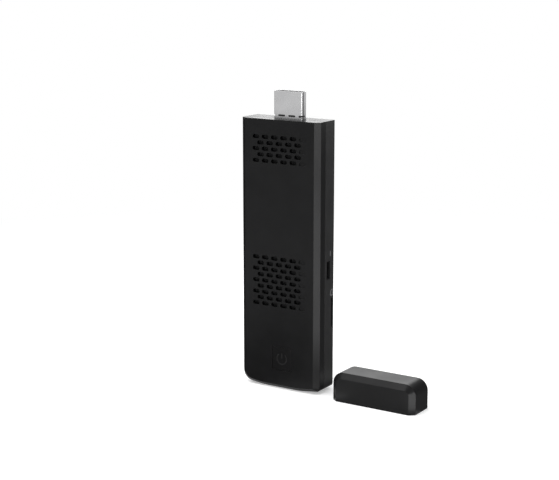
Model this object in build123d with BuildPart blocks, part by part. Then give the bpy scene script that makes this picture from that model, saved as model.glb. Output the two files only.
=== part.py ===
from build123d import *
import os

# A stick computer that stands on its foot, with its plug bare and the plug's cap standing beside it.
# Millimetres. X runs across the front, Y runs from the front to the rear, Z runs up from the foot.
# The origin is the middle of the foot, and the front faces -Y.

os.makedirs("parts", exist_ok=True)

# Casing
body_width = 38.8
body_depth = 13.2
body_height = 116.6
front_wall = 1.9
side_wall = 1.3
rear_wall = 0.8
cover_share = 0.4167
parting_gap = 0.2
bevel_width = 2.3
bevel_depth = 1.9
foot_bevel = 1.6
foot_flat_share = 0.4897
foot_rise = 1.25
foot_blend_share = 1.1598
left_foot_radius = 4.8
right_foot_radius = 1.4
least_radius = 0.6
rear_edge_radius = 0.5
lip_thickness = 0.6
lip_height = 1.0
lip_clearance = 0.08
port_clearance = 0.2
port_corner_radius = 0.4
overrun = 1.0

# Air slots in the front and the fine screens behind them
slot_length = 3.4
slot_height = 1.75
slot_pitch_share = 0.1186
slot_row_pitch = 2.53
slot_columns = 6
blind_slot_depth = 0.4
upper_slot_rows = 5
lower_slot_rows = 9
upper_slots_drop = 12.6
lower_slots_height = 47.1
screen_margin = 1.0
screen_thickness = 0.2

# Power button and its switch
button_width = 9.5
button_height = 10.4
button_x = 1.4
button_z = 13.5
button_gap = 0.15
button_corner_radius = 0.6
button_edge_radius = 0.2
button_flange = 0.8
button_flange_thickness = 0.7
button_stop_gap = 0.1
button_stem_radius = 1.9
button_travel = 0.3
symbol_radius = 2.4
symbol_stroke = 0.5
symbol_depth = 0.15
symbol_opening = 70
switch_width = 6.0
switch_height = 3.0
plunger_radius = 1.7
plunger_height = 1.0
plunger_fit = 0.1

# Main board and its screws
board_thickness = 1.0
board_edge_gap = 0.8
board_rear_share = 0.1894
notch_clearance = 0.3
screw_inset = 3.3
screw_height = 9.0
screw_drop = 7.0
screw_radius = 0.7
screw_head_radius = 1.5
screw_head_height = 0.8
screw_hole_clearance = 0.15
screw_thread_gap = 0.05
screw_tip_gap = 0.3
boss_radius = 2.0
boss_pilot_depth = 2.0

# Display plug
plug_width = 13.9
plug_depth = 4.45
plug_length = 11.5
plug_inner_length = 7.5
plug_x = 1.2
plug_rise = 1.65
plug_wall = 0.3
plug_bevel = 1.1
plug_corner_radius = 0.6
plug_tab_width = 1.6
plug_window_length = 3.4
plug_window_height = 0.8
plug_window_rise = 1.3
plug_window_shift = 0.5
plug_window_pitch = 5.0
plug_window_count = 4
plug_seam_width = 0.5
plug_seam_rise = 1.1
plug_seam_depth = 0.2
plug_core_recess = 0.9
plug_slot_width = 12.0
plug_slot_depth = 1.9
plug_slot_length = 8.0
plug_contact_width = 0.4
plug_contact_thickness = 0.15
plug_contact_pitch = 1.0
plug_contact_setback = 0.8
plug_contact_count = 10

# Cap of the plug, which stands beside the stick
cap_height = 12.4
cap_wall = 1.3
cap_roof = 1.3
cap_roof_over_plug = 0.6
cap_corner_radius = 4.8
cap_x = 46.7
cap_y = -1.9
cap_lip_recess = 0.8
grip_wall = 1.6
grip_clearance = 0.12
grip_fit = 0.05

# Power inlet on the right side
inlet_drop = 8.4
inlet_width = 7.5
inlet_depth = 2.5
inlet_length = 5.0
inlet_wall = 0.25
inlet_corner_radius = 0.5
inlet_recess = 0.4
inlet_rise = 0.3
inlet_tongue_width = 5.2
inlet_tongue_thickness = 0.6
inlet_tongue_setback = 0.6
inlet_base_length = 1.2
inlet_contact_width = 0.3
inlet_contact_thickness = 0.12
inlet_contact_pitch = 0.65
inlet_contact_count = 5

# Memory card slot on the right side
card_drop = 19.0
card_slot_length = 13.0
card_slot_width = 1.4
card_way = 0.8
card_socket_width = 13.8
card_socket_length = 14.5
card_socket_gap = 0.2
card_sheet = 0.2
card_base_gap = 0.1
card_contact_width = 0.7
card_contact_thickness = 0.12
card_contact_length = 4.0
card_contact_pitch = 1.1
card_contact_count = 8
card_contact_setback = 1.5

# Full-size socket on the left side
socket_fan_gap = 0.95
socket_front_gap = 1.3
socket_width = 13.1
socket_depth = 5.7
socket_length = 14.0
socket_wall = 0.3
socket_corner_radius = 0.6
socket_recess = 0.3
socket_tongue_width = 11.1
socket_tongue_thickness = 1.84
socket_tongue_setback = 1.0
socket_tongue_offset = 1.0
socket_base_length = 3.0
socket_contact_width = 1.0
socket_contact_thickness = 0.2
socket_contact_pitch = 2.3
socket_contact_count = 4
socket_contact_setback = 1.0

# Fan
fan_side_gap = 5.9
fan_leg_length = 2.05
fan_base = 0.6
fan_corner_radius = 2.0
fan_gap = 0.15
fan_wall = 1.1
fan_outlet_inset = 2.5
fan_lid_thickness = 0.4
fan_intake_inset = 3.4
fan_leg_radius = 0.9
fan_leg_inset = 1.7
fan_shaft_radius = 0.75
fan_running_fit = 0.05
fan_bearing_radius = 1.8
fan_bearing_gap = 0.4
fan_coil_radius = 3.9
fan_coil_gap = 0.7
fan_hub_radius = 5.2
fan_hub_wall = 0.5
fan_rotor_gap = 0.4
fan_blade_gap = 0.6
fan_blade_thickness = 0.6
fan_blade_overlap = 0.3
fan_blade_count = 13
fan_blade_sweep = 32
fan_blade_lean = 14
fan_shaft_end_gap = 0.3
ribbon_width = 2.4
ribbon_thickness = 0.2
connector_inset = 4.5
connector_width = 5.0
connector_height = 3.2
connector_thickness = 1.4
connector_drop = 3.0

# Chips and small parts on the board
processor_share = 0.4913
processor_thickness = 1.1
memory_edge_gap = 1.4
memory_height_share = 0.27
memory_thickness = 1.0
memory_gap = 0.8
storage_width = 11.5
storage_height = 13.0
storage_thickness = 1.0
wireless_width = 12.0
wireless_height = 12.0
wireless_thickness = 1.4
wireless_post_gap = 1.0
wireless_gap = 2.2
antenna_width = 10.0
antenna_height = 3.0
antenna_thickness = 1.2
antenna_x = -7.0
antenna_z = 5.4
controller_size = 6.0
controller_thickness = 0.8
controller_drop = 5.0
controller_card_gap = 0.5
inductor_size = 4.0
inductor_thickness = 1.5
inductor_pitch_share = 0.2222
inductor_count = 4
inductor_rise = 5.0
inductor_corner_radius = 0.5
capacitor_length = 1.6
capacitor_width = 0.8
capacitor_pitch = 2.2
capacitor_count = 9
capacitor_gap = 1.4
crystal_width = 3.2
crystal_height = 2.5
crystal_thickness = 0.7
crystal_gap = 2.0

# Heat spreader
pad_thickness = 0.5
spreader_side_gap = 2.6
spreader_thickness = 0.8
spreader_drop = 10.6
spreader_gap = 1.0
spreader_corner_radius = 1.0
fin_count = 11
fin_thickness = 0.5
fin_setback = 1.0
fin_front_gap = 1.0
fin_edge_gap = 0.6
post_radius = 1.2
post_inset = 1.8
post_rise = 2.2
post_drop = 4.0
spreader_screw_radius = 0.5
spreader_screw_head_radius = 1.1
spreader_screw_head_height = 0.6
spreader_screw_length = 1.2

# Depths that the pieces share, from the front to the rear
front_y = -body_depth / 2
rear_y = body_depth / 2
inner_front_y = front_y + front_wall
inner_rear_y = rear_y - rear_wall
parting_y = front_y + body_depth * cover_share
shell_start_y = parting_y + parting_gap
lip_end_y = shell_start_y + lip_height
board_rear_gap = body_depth * board_rear_share
board_rear_y = inner_rear_y - board_rear_gap
board_front_y = board_rear_y - board_thickness
screen_rear_y = inner_front_y + screen_thickness
lid_front_y = screen_rear_y + fan_gap
lid_rear_y = lid_front_y + fan_lid_thickness
fan_rear_y = board_front_y - fan_leg_length
fan_floor_y = fan_rear_y - fan_base
rotor_front_y = lid_rear_y + fan_rotor_gap
rotor_rear_y = fan_floor_y - fan_rotor_gap
hub_face_rear_y = rotor_front_y + fan_hub_wall
spreader_rear_y = board_front_y - processor_thickness - pad_thickness
spreader_front_y = spreader_rear_y - spreader_thickness
fin_front_y = inner_front_y + fin_front_gap
button_flange_y = inner_front_y + button_stop_gap
button_flange_rear_y = button_flange_y + button_flange_thickness
switch_front_y = board_front_y - switch_height
plunger_front_y = switch_front_y - plunger_height
plug_y = board_front_y - plug_rise
inlet_y = board_front_y - inlet_rise
card_socket_height = board_rear_gap - card_socket_gap
card_base_thickness = card_socket_height - card_sheet - card_way
card_slot_y = board_rear_y + card_base_thickness + card_way / 2
socket_y = inner_front_y + socket_front_gap + socket_depth / 2

# Widths and heights that the pieces share
side_x = body_width / 2
foot_flat = body_width * foot_flat_share
foot_blend_radius = body_width * foot_blend_share
slot_pitch = body_width * slot_pitch_share
inner_side_x = side_x - side_wall
board_inset = side_wall + board_edge_gap
board_side_x = side_x - board_inset
inlet_mouth_x = side_x - inlet_recess
inlet_back_x = inlet_mouth_x - inlet_length
card_mouth_x = inner_side_x - card_base_gap
card_back_x = card_mouth_x - card_socket_length
socket_mouth_x = -side_x + socket_recess
socket_back_x = socket_mouth_x + socket_length
upper_slots_z = body_height - upper_slots_drop
plug_tip_z = body_height + plug_length
plug_root_z = body_height - plug_inner_length
plug_core_z = plug_tip_z - plug_core_recess
plug_slot_floor_z = plug_core_z - plug_slot_length
fan_size = body_width - 2 * fan_side_gap
fan_chamber_radius = fan_size / 2 - fan_wall
inductor_pitch = fan_size * inductor_pitch_share
connector_x = fan_size / 2 - connector_inset
controller_x = card_back_x - controller_card_gap - controller_size / 2
fan_z = lower_slots_height
fan_top_z = fan_z + fan_size / 2
fan_foot_z = fan_z - fan_size / 2
socket_z = fan_foot_z - socket_fan_gap - socket_width / 2
spreader_width = 2 * (inner_side_x - spreader_side_gap)
spreader_foot_z = fan_top_z + spreader_gap
inlet_z = spreader_foot_z - inlet_drop
card_z = inlet_z - card_drop
spreader_top_z = body_height - spreader_drop
spreader_z = (spreader_foot_z + spreader_top_z) / 2
lower_post_z = spreader_foot_z + post_rise
upper_post_z = spreader_top_z - post_drop
processor_z = (lower_post_z + upper_post_z) / 2
memory_height = (upper_post_z - lower_post_z) * memory_height_share
processor_size = 2 * board_side_x * processor_share
memory_width = board_side_x - processor_size / 2 - memory_gap - memory_edge_gap
memory_x = processor_size / 2 + memory_gap + memory_width / 2
memory_step = memory_height + memory_gap
wireless_z = processor_z + storage_height / 2 + wireless_gap + wireless_height / 2
connector_z = fan_foot_z - connector_drop
screw_x = board_side_x - screw_inset
screw_top_z = body_height - screw_drop
post_x = spreader_width / 2 - post_inset
wireless_x = spreader_screw_head_radius + wireless_post_gap + wireless_width / 2 - post_x

board_screw_places = [
    (-screw_x, screw_height),
    (screw_x, screw_height),
    (-screw_x, screw_top_z),
    (screw_x, screw_top_z),
]
post_places = [
    (-post_x, lower_post_z),
    (post_x, lower_post_z),
    (-post_x, upper_post_z),
    (post_x, upper_post_z),
]


def facing(y):
    """Upright plane across the stick at depth y. Its first side is X and its second is Z."""
    return Plane.XZ.offset(-y)


def across(x):
    """Upright plane along the stick at width x. Its first side is Y and its second is Z."""
    return Plane.YZ.offset(x)


def level(z):
    """Flat plane at height z. Its first side is X and its second is Y."""
    return Plane.XY.offset(z)


def cap_facing(y):
    """Upright plane like facing, centred on the cap where it stands."""
    return Plane(origin=(cap_x, cap_y + y, 0), x_dir=(1, 0, 0), z_dir=(0, -1, 0))


def casing_outline(side_inset, foot_inset, top_inset):
    """Front outline with a square top, a gently bowed foot and one round lower corner."""
    half_width = side_x - side_inset
    rise = foot_rise * (half_width - foot_flat / 2) / (side_x - foot_flat / 2)
    with BuildLine() as outline:
        Polyline(
            (-half_width, body_height - top_inset),
            (-half_width, foot_inset + rise),
            (-foot_flat / 2, foot_inset),
            (foot_flat / 2, foot_inset),
            (half_width, foot_inset + rise),
            (half_width, body_height - top_inset),
            close=True,
        )
    make_face(outline.edges())
    left_corner = vertices().group_by(Axis.X)[0].sort_by(Axis.Y)[0]
    fillet(left_corner, max(left_foot_radius - foot_inset, least_radius))
    right_corner = vertices().group_by(Axis.X)[-1].sort_by(Axis.Y)[0]
    fillet(right_corner, max(right_foot_radius - foot_inset, least_radius))
    fillet(vertices().group_by(Axis.Y)[0], foot_blend_radius)


def casing_slab(inset, slab_rear_y, slab_front_y):
    """Slab of the casing's outline, set in by the same amount all round, between two depths."""
    with BuildPart() as slab:
        with BuildSketch(facing(slab_rear_y)):
            casing_outline(inset, inset, inset)
        extrude(amount=slab_rear_y - slab_front_y)
    return slab.part


def bevelled_slab(inset, slab_rear_y, slab_front_y):
    """Slab like casing_slab whose front is bevelled along its sides and foot, but not its top."""
    bevel_start_y = slab_front_y + bevel_depth
    with BuildPart() as slab:
        with BuildSketch(facing(slab_rear_y)):
            casing_outline(inset, inset, inset)
        extrude(amount=slab_rear_y - bevel_start_y)
        with BuildSketch(facing(bevel_start_y)):
            casing_outline(inset, inset, inset)
        with BuildSketch(facing(slab_front_y)):
            casing_outline(inset + bevel_width, inset + foot_bevel, inset)
        loft(ruled=True)
    return slab.part


def slot_places(centre_z, rows, blind):
    """Middles of staggered slots. The last slot of each full row is blind, and the others are open."""
    places = []
    for row in range(rows):
        row_z = centre_z + (row - (rows - 1) / 2) * slot_row_pitch
        count = slot_columns - row % 2
        for column in range(count):
            slot_x = (column - (count - 1) / 2) * slot_pitch
            if (column == slot_columns - 1) == blind:
                places.append((slot_x, row_z))
    return places


def slot_field(blind):
    """Round-ended slots of both fields, either the blind ones or the open ones."""
    upper_places = slot_places(upper_slots_z, upper_slot_rows, blind)
    lower_places = slot_places(lower_slots_height, lower_slot_rows, blind)
    with Locations(*upper_places, *lower_places):
        SlotOverall(slot_length, slot_height)


def plug_outline(margin):
    """Section of the plug seen from above, wide at the front and bevelled at the rear."""
    half_width = plug_width / 2
    half_depth = plug_depth / 2
    with BuildLine() as outline:
        Polyline(
            (plug_x - half_width, plug_y - half_depth),
            (plug_x + half_width, plug_y - half_depth),
            (plug_x + half_width, plug_y + half_depth - plug_bevel),
            (plug_x + half_width - plug_bevel, plug_y + half_depth),
            (plug_x - half_width + plug_bevel, plug_y + half_depth),
            (plug_x - half_width, plug_y + half_depth - plug_bevel),
            close=True,
        )
    make_face(outline.edges())
    fillet(vertices(), plug_corner_radius)
    if margin:
        offset(amount=margin)


def plug_bar(margin, foot_z, top_z):
    """Straight bar of the plug's section between two heights, wider or narrower by a margin."""
    with BuildPart() as bar:
        with BuildSketch(level(foot_z)):
            plug_outline(margin)
        extrude(amount=top_z - foot_z)
    return bar.part


# Openings for the plug in the top, for the full-size socket in the left side and for the inlet in the right
plug_port = plug_bar(port_clearance, body_height - side_wall - overrun, body_height + overrun)

with BuildPart() as socket_port:
    with BuildSketch(across(-side_x - overrun)):
        with Locations((socket_y, socket_z)):
            RectangleRounded(
                socket_depth + 2 * port_clearance,
                socket_width + 2 * port_clearance,
                socket_corner_radius,
            )
    extrude(amount=side_wall + 2 * overrun)

with BuildPart() as inlet_port:
    with BuildSketch(across(inner_side_x - overrun)):
        with Locations((inlet_y, inlet_z)):
            RectangleRounded(
                inlet_depth + 2 * port_clearance,
                inlet_width + 2 * port_clearance,
                inlet_corner_radius,
            )
    extrude(amount=side_wall + 2 * overrun)

# Front cover: face, bevels, side walls and the lip that the rear shell closes over
cover_block = bevelled_slab(0, parting_y, front_y)
cover_lip = casing_slab(side_wall - lip_thickness, lip_end_y, parting_y)
cover_hollow = bevelled_slab(side_wall, lip_end_y, inner_front_y)

with BuildPart() as front_cover:
    add(cover_block)
    add(cover_lip)
    add(cover_hollow, mode=Mode.SUBTRACT)
    with BuildSketch(facing(inner_front_y + overrun)):
        slot_field(False)
        with Locations((button_x, button_z)):
            RectangleRounded(button_width, button_height, button_corner_radius)
    extrude(amount=front_wall + 2 * overrun, mode=Mode.SUBTRACT)
    with BuildSketch(facing(front_y + blind_slot_depth)):
        slot_field(True)
    extrude(amount=blind_slot_depth + overrun, mode=Mode.SUBTRACT)
    add(plug_port, mode=Mode.SUBTRACT)
    add(socket_port.part, mode=Mode.SUBTRACT)
    add(inlet_port.part, mode=Mode.SUBTRACT)

front_cover.part.label = "front_cover"
export_step(front_cover.part, "parts/front_cover.step")

# Rear shell: tray with the screw bosses, the rebate for the lip and the ports of the right side
rebate_inset = side_wall - lip_thickness - lip_clearance
shell_block = casing_slab(0, rear_y, shell_start_y)
shell_hollow = casing_slab(side_wall, inner_rear_y, parting_y)
shell_rebate = casing_slab(rebate_inset, lip_end_y + lip_clearance, parting_y)

with BuildPart() as rear_shell:
    add(shell_block)
    back_face = rear_shell.faces().sort_by(Axis.Y)[-1]
    fillet(back_face.edges().sort_by(Axis.Z)[:-1], rear_edge_radius)
    add(shell_hollow, mode=Mode.SUBTRACT)
    add(shell_rebate, mode=Mode.SUBTRACT)
    with BuildSketch(facing(inner_rear_y)):
        with Locations(*board_screw_places):
            Circle(boss_radius)
    extrude(amount=board_rear_gap)
    with BuildSketch(facing(board_rear_y)):
        with Locations(*board_screw_places):
            Circle(screw_radius + screw_thread_gap)
    extrude(amount=-boss_pilot_depth, mode=Mode.SUBTRACT)
    add(plug_port, mode=Mode.SUBTRACT)
    add(socket_port.part, mode=Mode.SUBTRACT)
    add(inlet_port.part, mode=Mode.SUBTRACT)
    with BuildSketch(across(inner_side_x - overrun)):
        with Locations((card_slot_y, card_z)):
            RectangleRounded(card_slot_width, card_slot_length, port_corner_radius)
    extrude(amount=side_wall + 2 * overrun, mode=Mode.SUBTRACT)

rear_shell.part.label = "rear_shell"
export_step(rear_shell.part, "parts/rear_shell.step")

# Fine screens glued behind the two fields of slots
screen_width = (slot_columns - 1) * slot_pitch + slot_length + 2 * screen_margin
upper_screen_height = (upper_slot_rows - 1) * slot_row_pitch + slot_height + 2 * screen_margin
lower_screen_height = (lower_slot_rows - 1) * slot_row_pitch + slot_height + 2 * screen_margin

with BuildPart() as slot_screens:
    with BuildSketch(facing(screen_rear_y)):
        with Locations((0, upper_slots_z)):
            Rectangle(screen_width, upper_screen_height)
        with Locations((0, lower_slots_height)):
            Rectangle(screen_width, lower_screen_height)
    extrude(amount=screen_thickness)

slot_screens.part.label = "slot_screens"
export_step(slot_screens.part, "parts/slot_screens.step")

# Power button: flush key with a cut symbol, a flange behind the cover and a stem to the switch
with BuildPart() as power_button:
    with BuildSketch(facing(button_flange_y)):
        with Locations((button_x, button_z)):
            RectangleRounded(
                button_width - 2 * button_gap,
                button_height - 2 * button_gap,
                button_corner_radius,
            )
    extrude(amount=button_flange_y - front_y)
    fillet(faces().sort_by(Axis.Y)[0].edges(), button_edge_radius)
    with BuildSketch(facing(button_flange_rear_y)):
        with Locations((button_x, button_z)):
            RectangleRounded(
                button_width + 2 * button_flange,
                button_height + 2 * button_flange,
                button_corner_radius,
            )
    extrude(amount=button_flange_thickness)
    with BuildSketch(facing(plunger_front_y)):
        with Locations((button_x, button_z)):
            Circle(button_stem_radius)
    extrude(amount=plunger_front_y - button_flange_rear_y)
    with BuildSketch(facing(front_y)):
        with BuildLine():
            CenterArc(
                (button_x, button_z),
                symbol_radius,
                90 + symbol_opening / 2,
                360 - symbol_opening,
            )
        trace(line_width=symbol_stroke)
        with Locations((button_x, button_z + symbol_radius / 2)):
            SlotOverall(symbol_radius, symbol_stroke, rotation=90)
    extrude(amount=-symbol_depth, mode=Mode.SUBTRACT)

power_button.part.label = "power_button"
export_step(power_button.part, "parts/power_button.step")

# Switch under the button, with the plunger that the button's stem pushes
with BuildPart() as switch_body:
    with BuildSketch(facing(board_front_y)):
        with Locations((button_x, button_z)):
            Rectangle(switch_width, switch_width)
    extrude(amount=switch_height)
    with BuildSketch(facing(switch_front_y)):
        with Locations((button_x, button_z)):
            Circle(plunger_radius + plunger_fit)
    extrude(amount=-plunger_height - 2 * button_travel, mode=Mode.SUBTRACT)

switch_body.part.label = "switch_body"
export_step(switch_body.part, "parts/switch_body.step")

with BuildPart() as switch_plunger:
    with BuildSketch(facing(switch_front_y + plunger_height)):
        with Locations((button_x, button_z)):
            Circle(plunger_radius)
    extrude(amount=2 * plunger_height)

switch_plunger.part.label = "switch_plunger"
export_step(switch_plunger.part, "parts/switch_plunger.step")

# Main board: the casing's outline, notched for the plug, the power inlet and the full-size socket
board_block = casing_slab(board_inset, board_rear_y, board_front_y)

with BuildPart() as main_board:
    add(board_block)
    with BuildSketch(facing(board_rear_y)):
        with Locations((plug_x, plug_root_z - notch_clearance)):
            Rectangle(
                plug_width + 2 * notch_clearance,
                plug_inner_length + overrun,
                align=(Align.CENTER, Align.MIN),
            )
        with Locations((inlet_back_x - notch_clearance, inlet_z)):
            Rectangle(
                inlet_length + overrun,
                inlet_width + 2 * notch_clearance,
                align=(Align.MIN, Align.CENTER),
            )
        with Locations((socket_back_x + notch_clearance, socket_z)):
            Rectangle(
                socket_length + overrun,
                socket_width + 2 * notch_clearance,
                align=(Align.MAX, Align.CENTER),
            )
        with Locations(*board_screw_places):
            Circle(screw_radius + screw_hole_clearance)
        with Locations(*post_places):
            Circle(spreader_screw_radius + screw_hole_clearance)
    extrude(amount=board_thickness, mode=Mode.SUBTRACT)

main_board.part.label = "main_board"
export_step(main_board.part, "parts/main_board.step")

# Four screws that hold the board on the bosses of the rear shell
with BuildPart() as board_screws:
    with BuildSketch(facing(board_front_y)):
        with Locations(*board_screw_places):
            Circle(screw_head_radius)
    extrude(amount=screw_head_height)
    with BuildSketch(facing(board_rear_y + boss_pilot_depth - screw_tip_gap)):
        with Locations(*board_screw_places):
            Circle(screw_radius)
    extrude(amount=boss_pilot_depth - screw_tip_gap + board_thickness)

board_screws.part.label = "board_screws"
export_step(board_screws.part, "parts/board_screws.step")

# Processor with its pad, and the memory chips beside it
with BuildPart() as processor:
    with BuildSketch(facing(board_front_y)):
        with Locations((0, processor_z)):
            Rectangle(processor_size, processor_size)
    extrude(amount=processor_thickness)

processor.part.label = "processor"
export_step(processor.part, "parts/processor.step")

with BuildPart() as thermal_pad:
    with BuildSketch(facing(board_front_y - processor_thickness)):
        with Locations((0, processor_z)):
            Rectangle(processor_size - 2 * memory_gap, processor_size - 2 * memory_gap)
    extrude(amount=pad_thickness)

thermal_pad.part.label = "thermal_pad"
export_step(thermal_pad.part, "parts/thermal_pad.step")

with BuildPart() as memory_chips:
    with BuildSketch(facing(board_front_y)):
        with Locations((0, processor_z)):
            with GridLocations(2 * memory_x, memory_step, 2, 2):
                Rectangle(memory_width, memory_height)
    extrude(amount=memory_thickness)

memory_chips.part.label = "memory_chips"
export_step(memory_chips.part, "parts/memory_chips.step")

# Chips on the rear of the board
with BuildPart() as storage_chip:
    with BuildSketch(facing(board_rear_y)):
        with Locations((0, processor_z)):
            Rectangle(storage_width, storage_height)
    extrude(amount=-storage_thickness)

storage_chip.part.label = "storage_chip"
export_step(storage_chip.part, "parts/storage_chip.step")

with BuildPart() as wireless_module:
    with BuildSketch(facing(board_rear_y)):
        with Locations((wireless_x, wireless_z)):
            Rectangle(wireless_width, wireless_height)
    extrude(amount=-wireless_thickness)

wireless_module.part.label = "wireless_module"
export_step(wireless_module.part, "parts/wireless_module.step")

# Small parts on the front of the board
with BuildPart() as antenna:
    with BuildSketch(facing(board_front_y)):
        with Locations((antenna_x, antenna_z)):
            Rectangle(antenna_width, antenna_height)
    extrude(amount=antenna_thickness)

antenna.part.label = "antenna"
export_step(antenna.part, "parts/antenna.step")

with BuildPart() as power_controller:
    with BuildSketch(facing(board_front_y)):
        with Locations((controller_x, fan_z - controller_drop)):
            Rectangle(controller_size, controller_size)
    extrude(amount=controller_thickness)

power_controller.part.label = "power_controller"
export_step(power_controller.part, "parts/power_controller.step")

with BuildPart() as inductors:
    with BuildSketch(facing(board_front_y)):
        with Locations((0, fan_z + inductor_rise)):
            with GridLocations(inductor_pitch, inductor_size, inductor_count, 1):
                RectangleRounded(inductor_size, inductor_size, inductor_corner_radius)
    extrude(amount=inductor_thickness)

inductors.part.label = "inductors"
export_step(inductors.part, "parts/inductors.step")

memory_top_z = processor_z + memory_gap / 2 + memory_height
capacitor_z = memory_top_z + capacitor_gap + capacitor_length / 2

with BuildPart() as capacitors:
    with BuildSketch(facing(board_front_y)):
        with Locations((0, capacitor_z)):
            with GridLocations(capacitor_pitch, capacitor_width, capacitor_count, 1):
                Rectangle(capacitor_width, capacitor_length)
    extrude(amount=capacitor_width)

capacitors.part.label = "capacitors"
export_step(capacitors.part, "parts/capacitors.step")

with BuildPart() as clock_crystal:
    with BuildSketch(facing(board_front_y)):
        with Locations((0, processor_z - processor_size / 2 - crystal_gap)):
            Rectangle(crystal_width, crystal_height)
    extrude(amount=crystal_thickness)

clock_crystal.part.label = "clock_crystal"
export_step(clock_crystal.part, "parts/clock_crystal.step")

# Heat spreader: a plate on the pad, fins in the fan's air and four posts to the board
fin_span = spreader_width - 2 * fin_edge_gap - fin_thickness
fin_foot_z = spreader_foot_z + fin_edge_gap
fin_top_z = upper_slots_z - upper_screen_height / 2 - fin_setback

with BuildPart() as heat_spreader:
    with BuildSketch(facing(spreader_rear_y)):
        with Locations((0, spreader_z)):
            RectangleRounded(
                spreader_width,
                spreader_top_z - spreader_foot_z,
                spreader_corner_radius,
            )
    extrude(amount=spreader_thickness)
    with BuildSketch(facing(spreader_front_y)):
        with Locations((0, (fin_foot_z + fin_top_z) / 2)):
            with GridLocations(fin_span / (fin_count - 1), fin_thickness, fin_count, 1):
                Rectangle(fin_thickness, fin_top_z - fin_foot_z)
    extrude(amount=spreader_front_y - fin_front_y)
    with BuildSketch(facing(board_front_y)):
        with Locations(*post_places):
            Circle(post_radius)
    extrude(amount=board_front_y - spreader_rear_y)
    with BuildSketch(facing(board_front_y)):
        with Locations(*post_places):
            Circle(spreader_screw_radius + screw_thread_gap)
    extrude(amount=spreader_screw_length + screw_tip_gap, mode=Mode.SUBTRACT)

heat_spreader.part.label = "heat_spreader"
export_step(heat_spreader.part, "parts/heat_spreader.step")

# Four small screws from the rear of the board into the spreader's posts
with BuildPart() as spreader_screws:
    with BuildSketch(facing(board_rear_y)):
        with Locations(*post_places):
            Circle(spreader_screw_head_radius)
    extrude(amount=-spreader_screw_head_height)
    with BuildSketch(facing(board_rear_y)):
        with Locations(*post_places):
            Circle(spreader_screw_radius)
    extrude(amount=board_thickness + spreader_screw_length)

spreader_screws.part.label = "spreader_screws"
export_step(spreader_screws.part, "parts/spreader_screws.step")

# Fan housing: a shallow box with a round chamber, an outlet at its top and four legs to the board
leg_pitch = fan_size - 2 * fan_leg_inset

with BuildPart() as fan_housing:
    with BuildSketch(facing(fan_rear_y)):
        with Locations((0, fan_z)):
            RectangleRounded(fan_size, fan_size, fan_corner_radius)
    extrude(amount=fan_rear_y - lid_rear_y)
    with BuildSketch(facing(fan_floor_y)):
        with Locations((0, fan_z)):
            Circle(fan_chamber_radius)
            Rectangle(
                fan_size - 2 * fan_outlet_inset,
                fan_size / 2 + overrun,
                align=(Align.CENTER, Align.MIN),
            )
    extrude(amount=fan_floor_y - lid_rear_y, mode=Mode.SUBTRACT)
    with BuildSketch(facing(board_front_y)):
        with Locations((0, fan_z)):
            with GridLocations(leg_pitch, leg_pitch, 2, 2):
                Circle(fan_leg_radius)
    extrude(amount=board_front_y - fan_rear_y)

fan_housing.part.label = "fan_housing"
export_step(fan_housing.part, "parts/fan_housing.step")

with BuildPart() as fan_lid:
    with BuildSketch(facing(lid_rear_y)):
        with Locations((0, fan_z)):
            RectangleRounded(fan_size, fan_size, fan_corner_radius)
            Circle(fan_chamber_radius - fan_intake_inset, mode=Mode.SUBTRACT)
    extrude(amount=fan_lid_thickness)

fan_lid.part.label = "fan_lid"
export_step(fan_lid.part, "parts/fan_lid.step")

with BuildPart() as fan_bearing:
    with BuildSketch(facing(fan_floor_y)):
        with Locations((0, fan_z)):
            Circle(fan_bearing_radius)
            Circle(fan_shaft_radius + fan_running_fit, mode=Mode.SUBTRACT)
    extrude(amount=fan_floor_y - hub_face_rear_y - fan_bearing_gap)

fan_bearing.part.label = "fan_bearing"
export_step(fan_bearing.part, "parts/fan_bearing.step")

with BuildPart() as fan_coil:
    with BuildSketch(facing(fan_floor_y)):
        with Locations((0, fan_z)):
            Circle(fan_coil_radius)
            Circle(fan_bearing_radius + fan_running_fit, mode=Mode.SUBTRACT)
    extrude(amount=fan_floor_y - hub_face_rear_y - fan_coil_gap)

fan_coil.part.label = "fan_coil"
export_step(fan_coil.part, "parts/fan_coil.step")

# Fan rotor: a cup that turns round the coil, with swept blades
blade_root_radius = fan_hub_radius - fan_blade_overlap
blade_tip_radius = fan_chamber_radius - fan_blade_gap
blade_middle_radius = (blade_root_radius + blade_tip_radius) / 2


def fan_point(radius, turn):
    """Point at a radius and an angle round the fan's axis, on a plane that faces the front."""
    return Vector(0, fan_z) + Vector(radius, 0).rotate(Axis.Z, turn)


with BuildPart() as fan_rotor:
    with BuildSketch(facing(rotor_rear_y)):
        with Locations((0, fan_z)):
            Circle(fan_hub_radius)
        for blade in range(fan_blade_count):
            turn = 360 * blade / fan_blade_count
            with BuildLine():
                ThreePointArc(
                    fan_point(blade_root_radius, turn),
                    fan_point(blade_middle_radius, turn + fan_blade_lean),
                    fan_point(blade_tip_radius, turn + fan_blade_sweep),
                )
            trace(line_width=fan_blade_thickness)
    extrude(amount=rotor_rear_y - rotor_front_y)
    with BuildSketch(facing(rotor_rear_y)):
        with Locations((0, fan_z)):
            Circle(fan_hub_radius - fan_hub_wall)
    extrude(amount=rotor_rear_y - hub_face_rear_y, mode=Mode.SUBTRACT)

fan_rotor.part.label = "fan_rotor"
export_step(fan_rotor.part, "parts/fan_rotor.step")

with BuildPart() as fan_shaft:
    with BuildSketch(facing(fan_floor_y - fan_shaft_end_gap)):
        with Locations((0, fan_z)):
            Circle(fan_shaft_radius)
    extrude(amount=fan_floor_y - fan_shaft_end_gap - hub_face_rear_y)

fan_shaft.part.label = "fan_shaft"
export_step(fan_shaft.part, "parts/fan_shaft.step")

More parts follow.
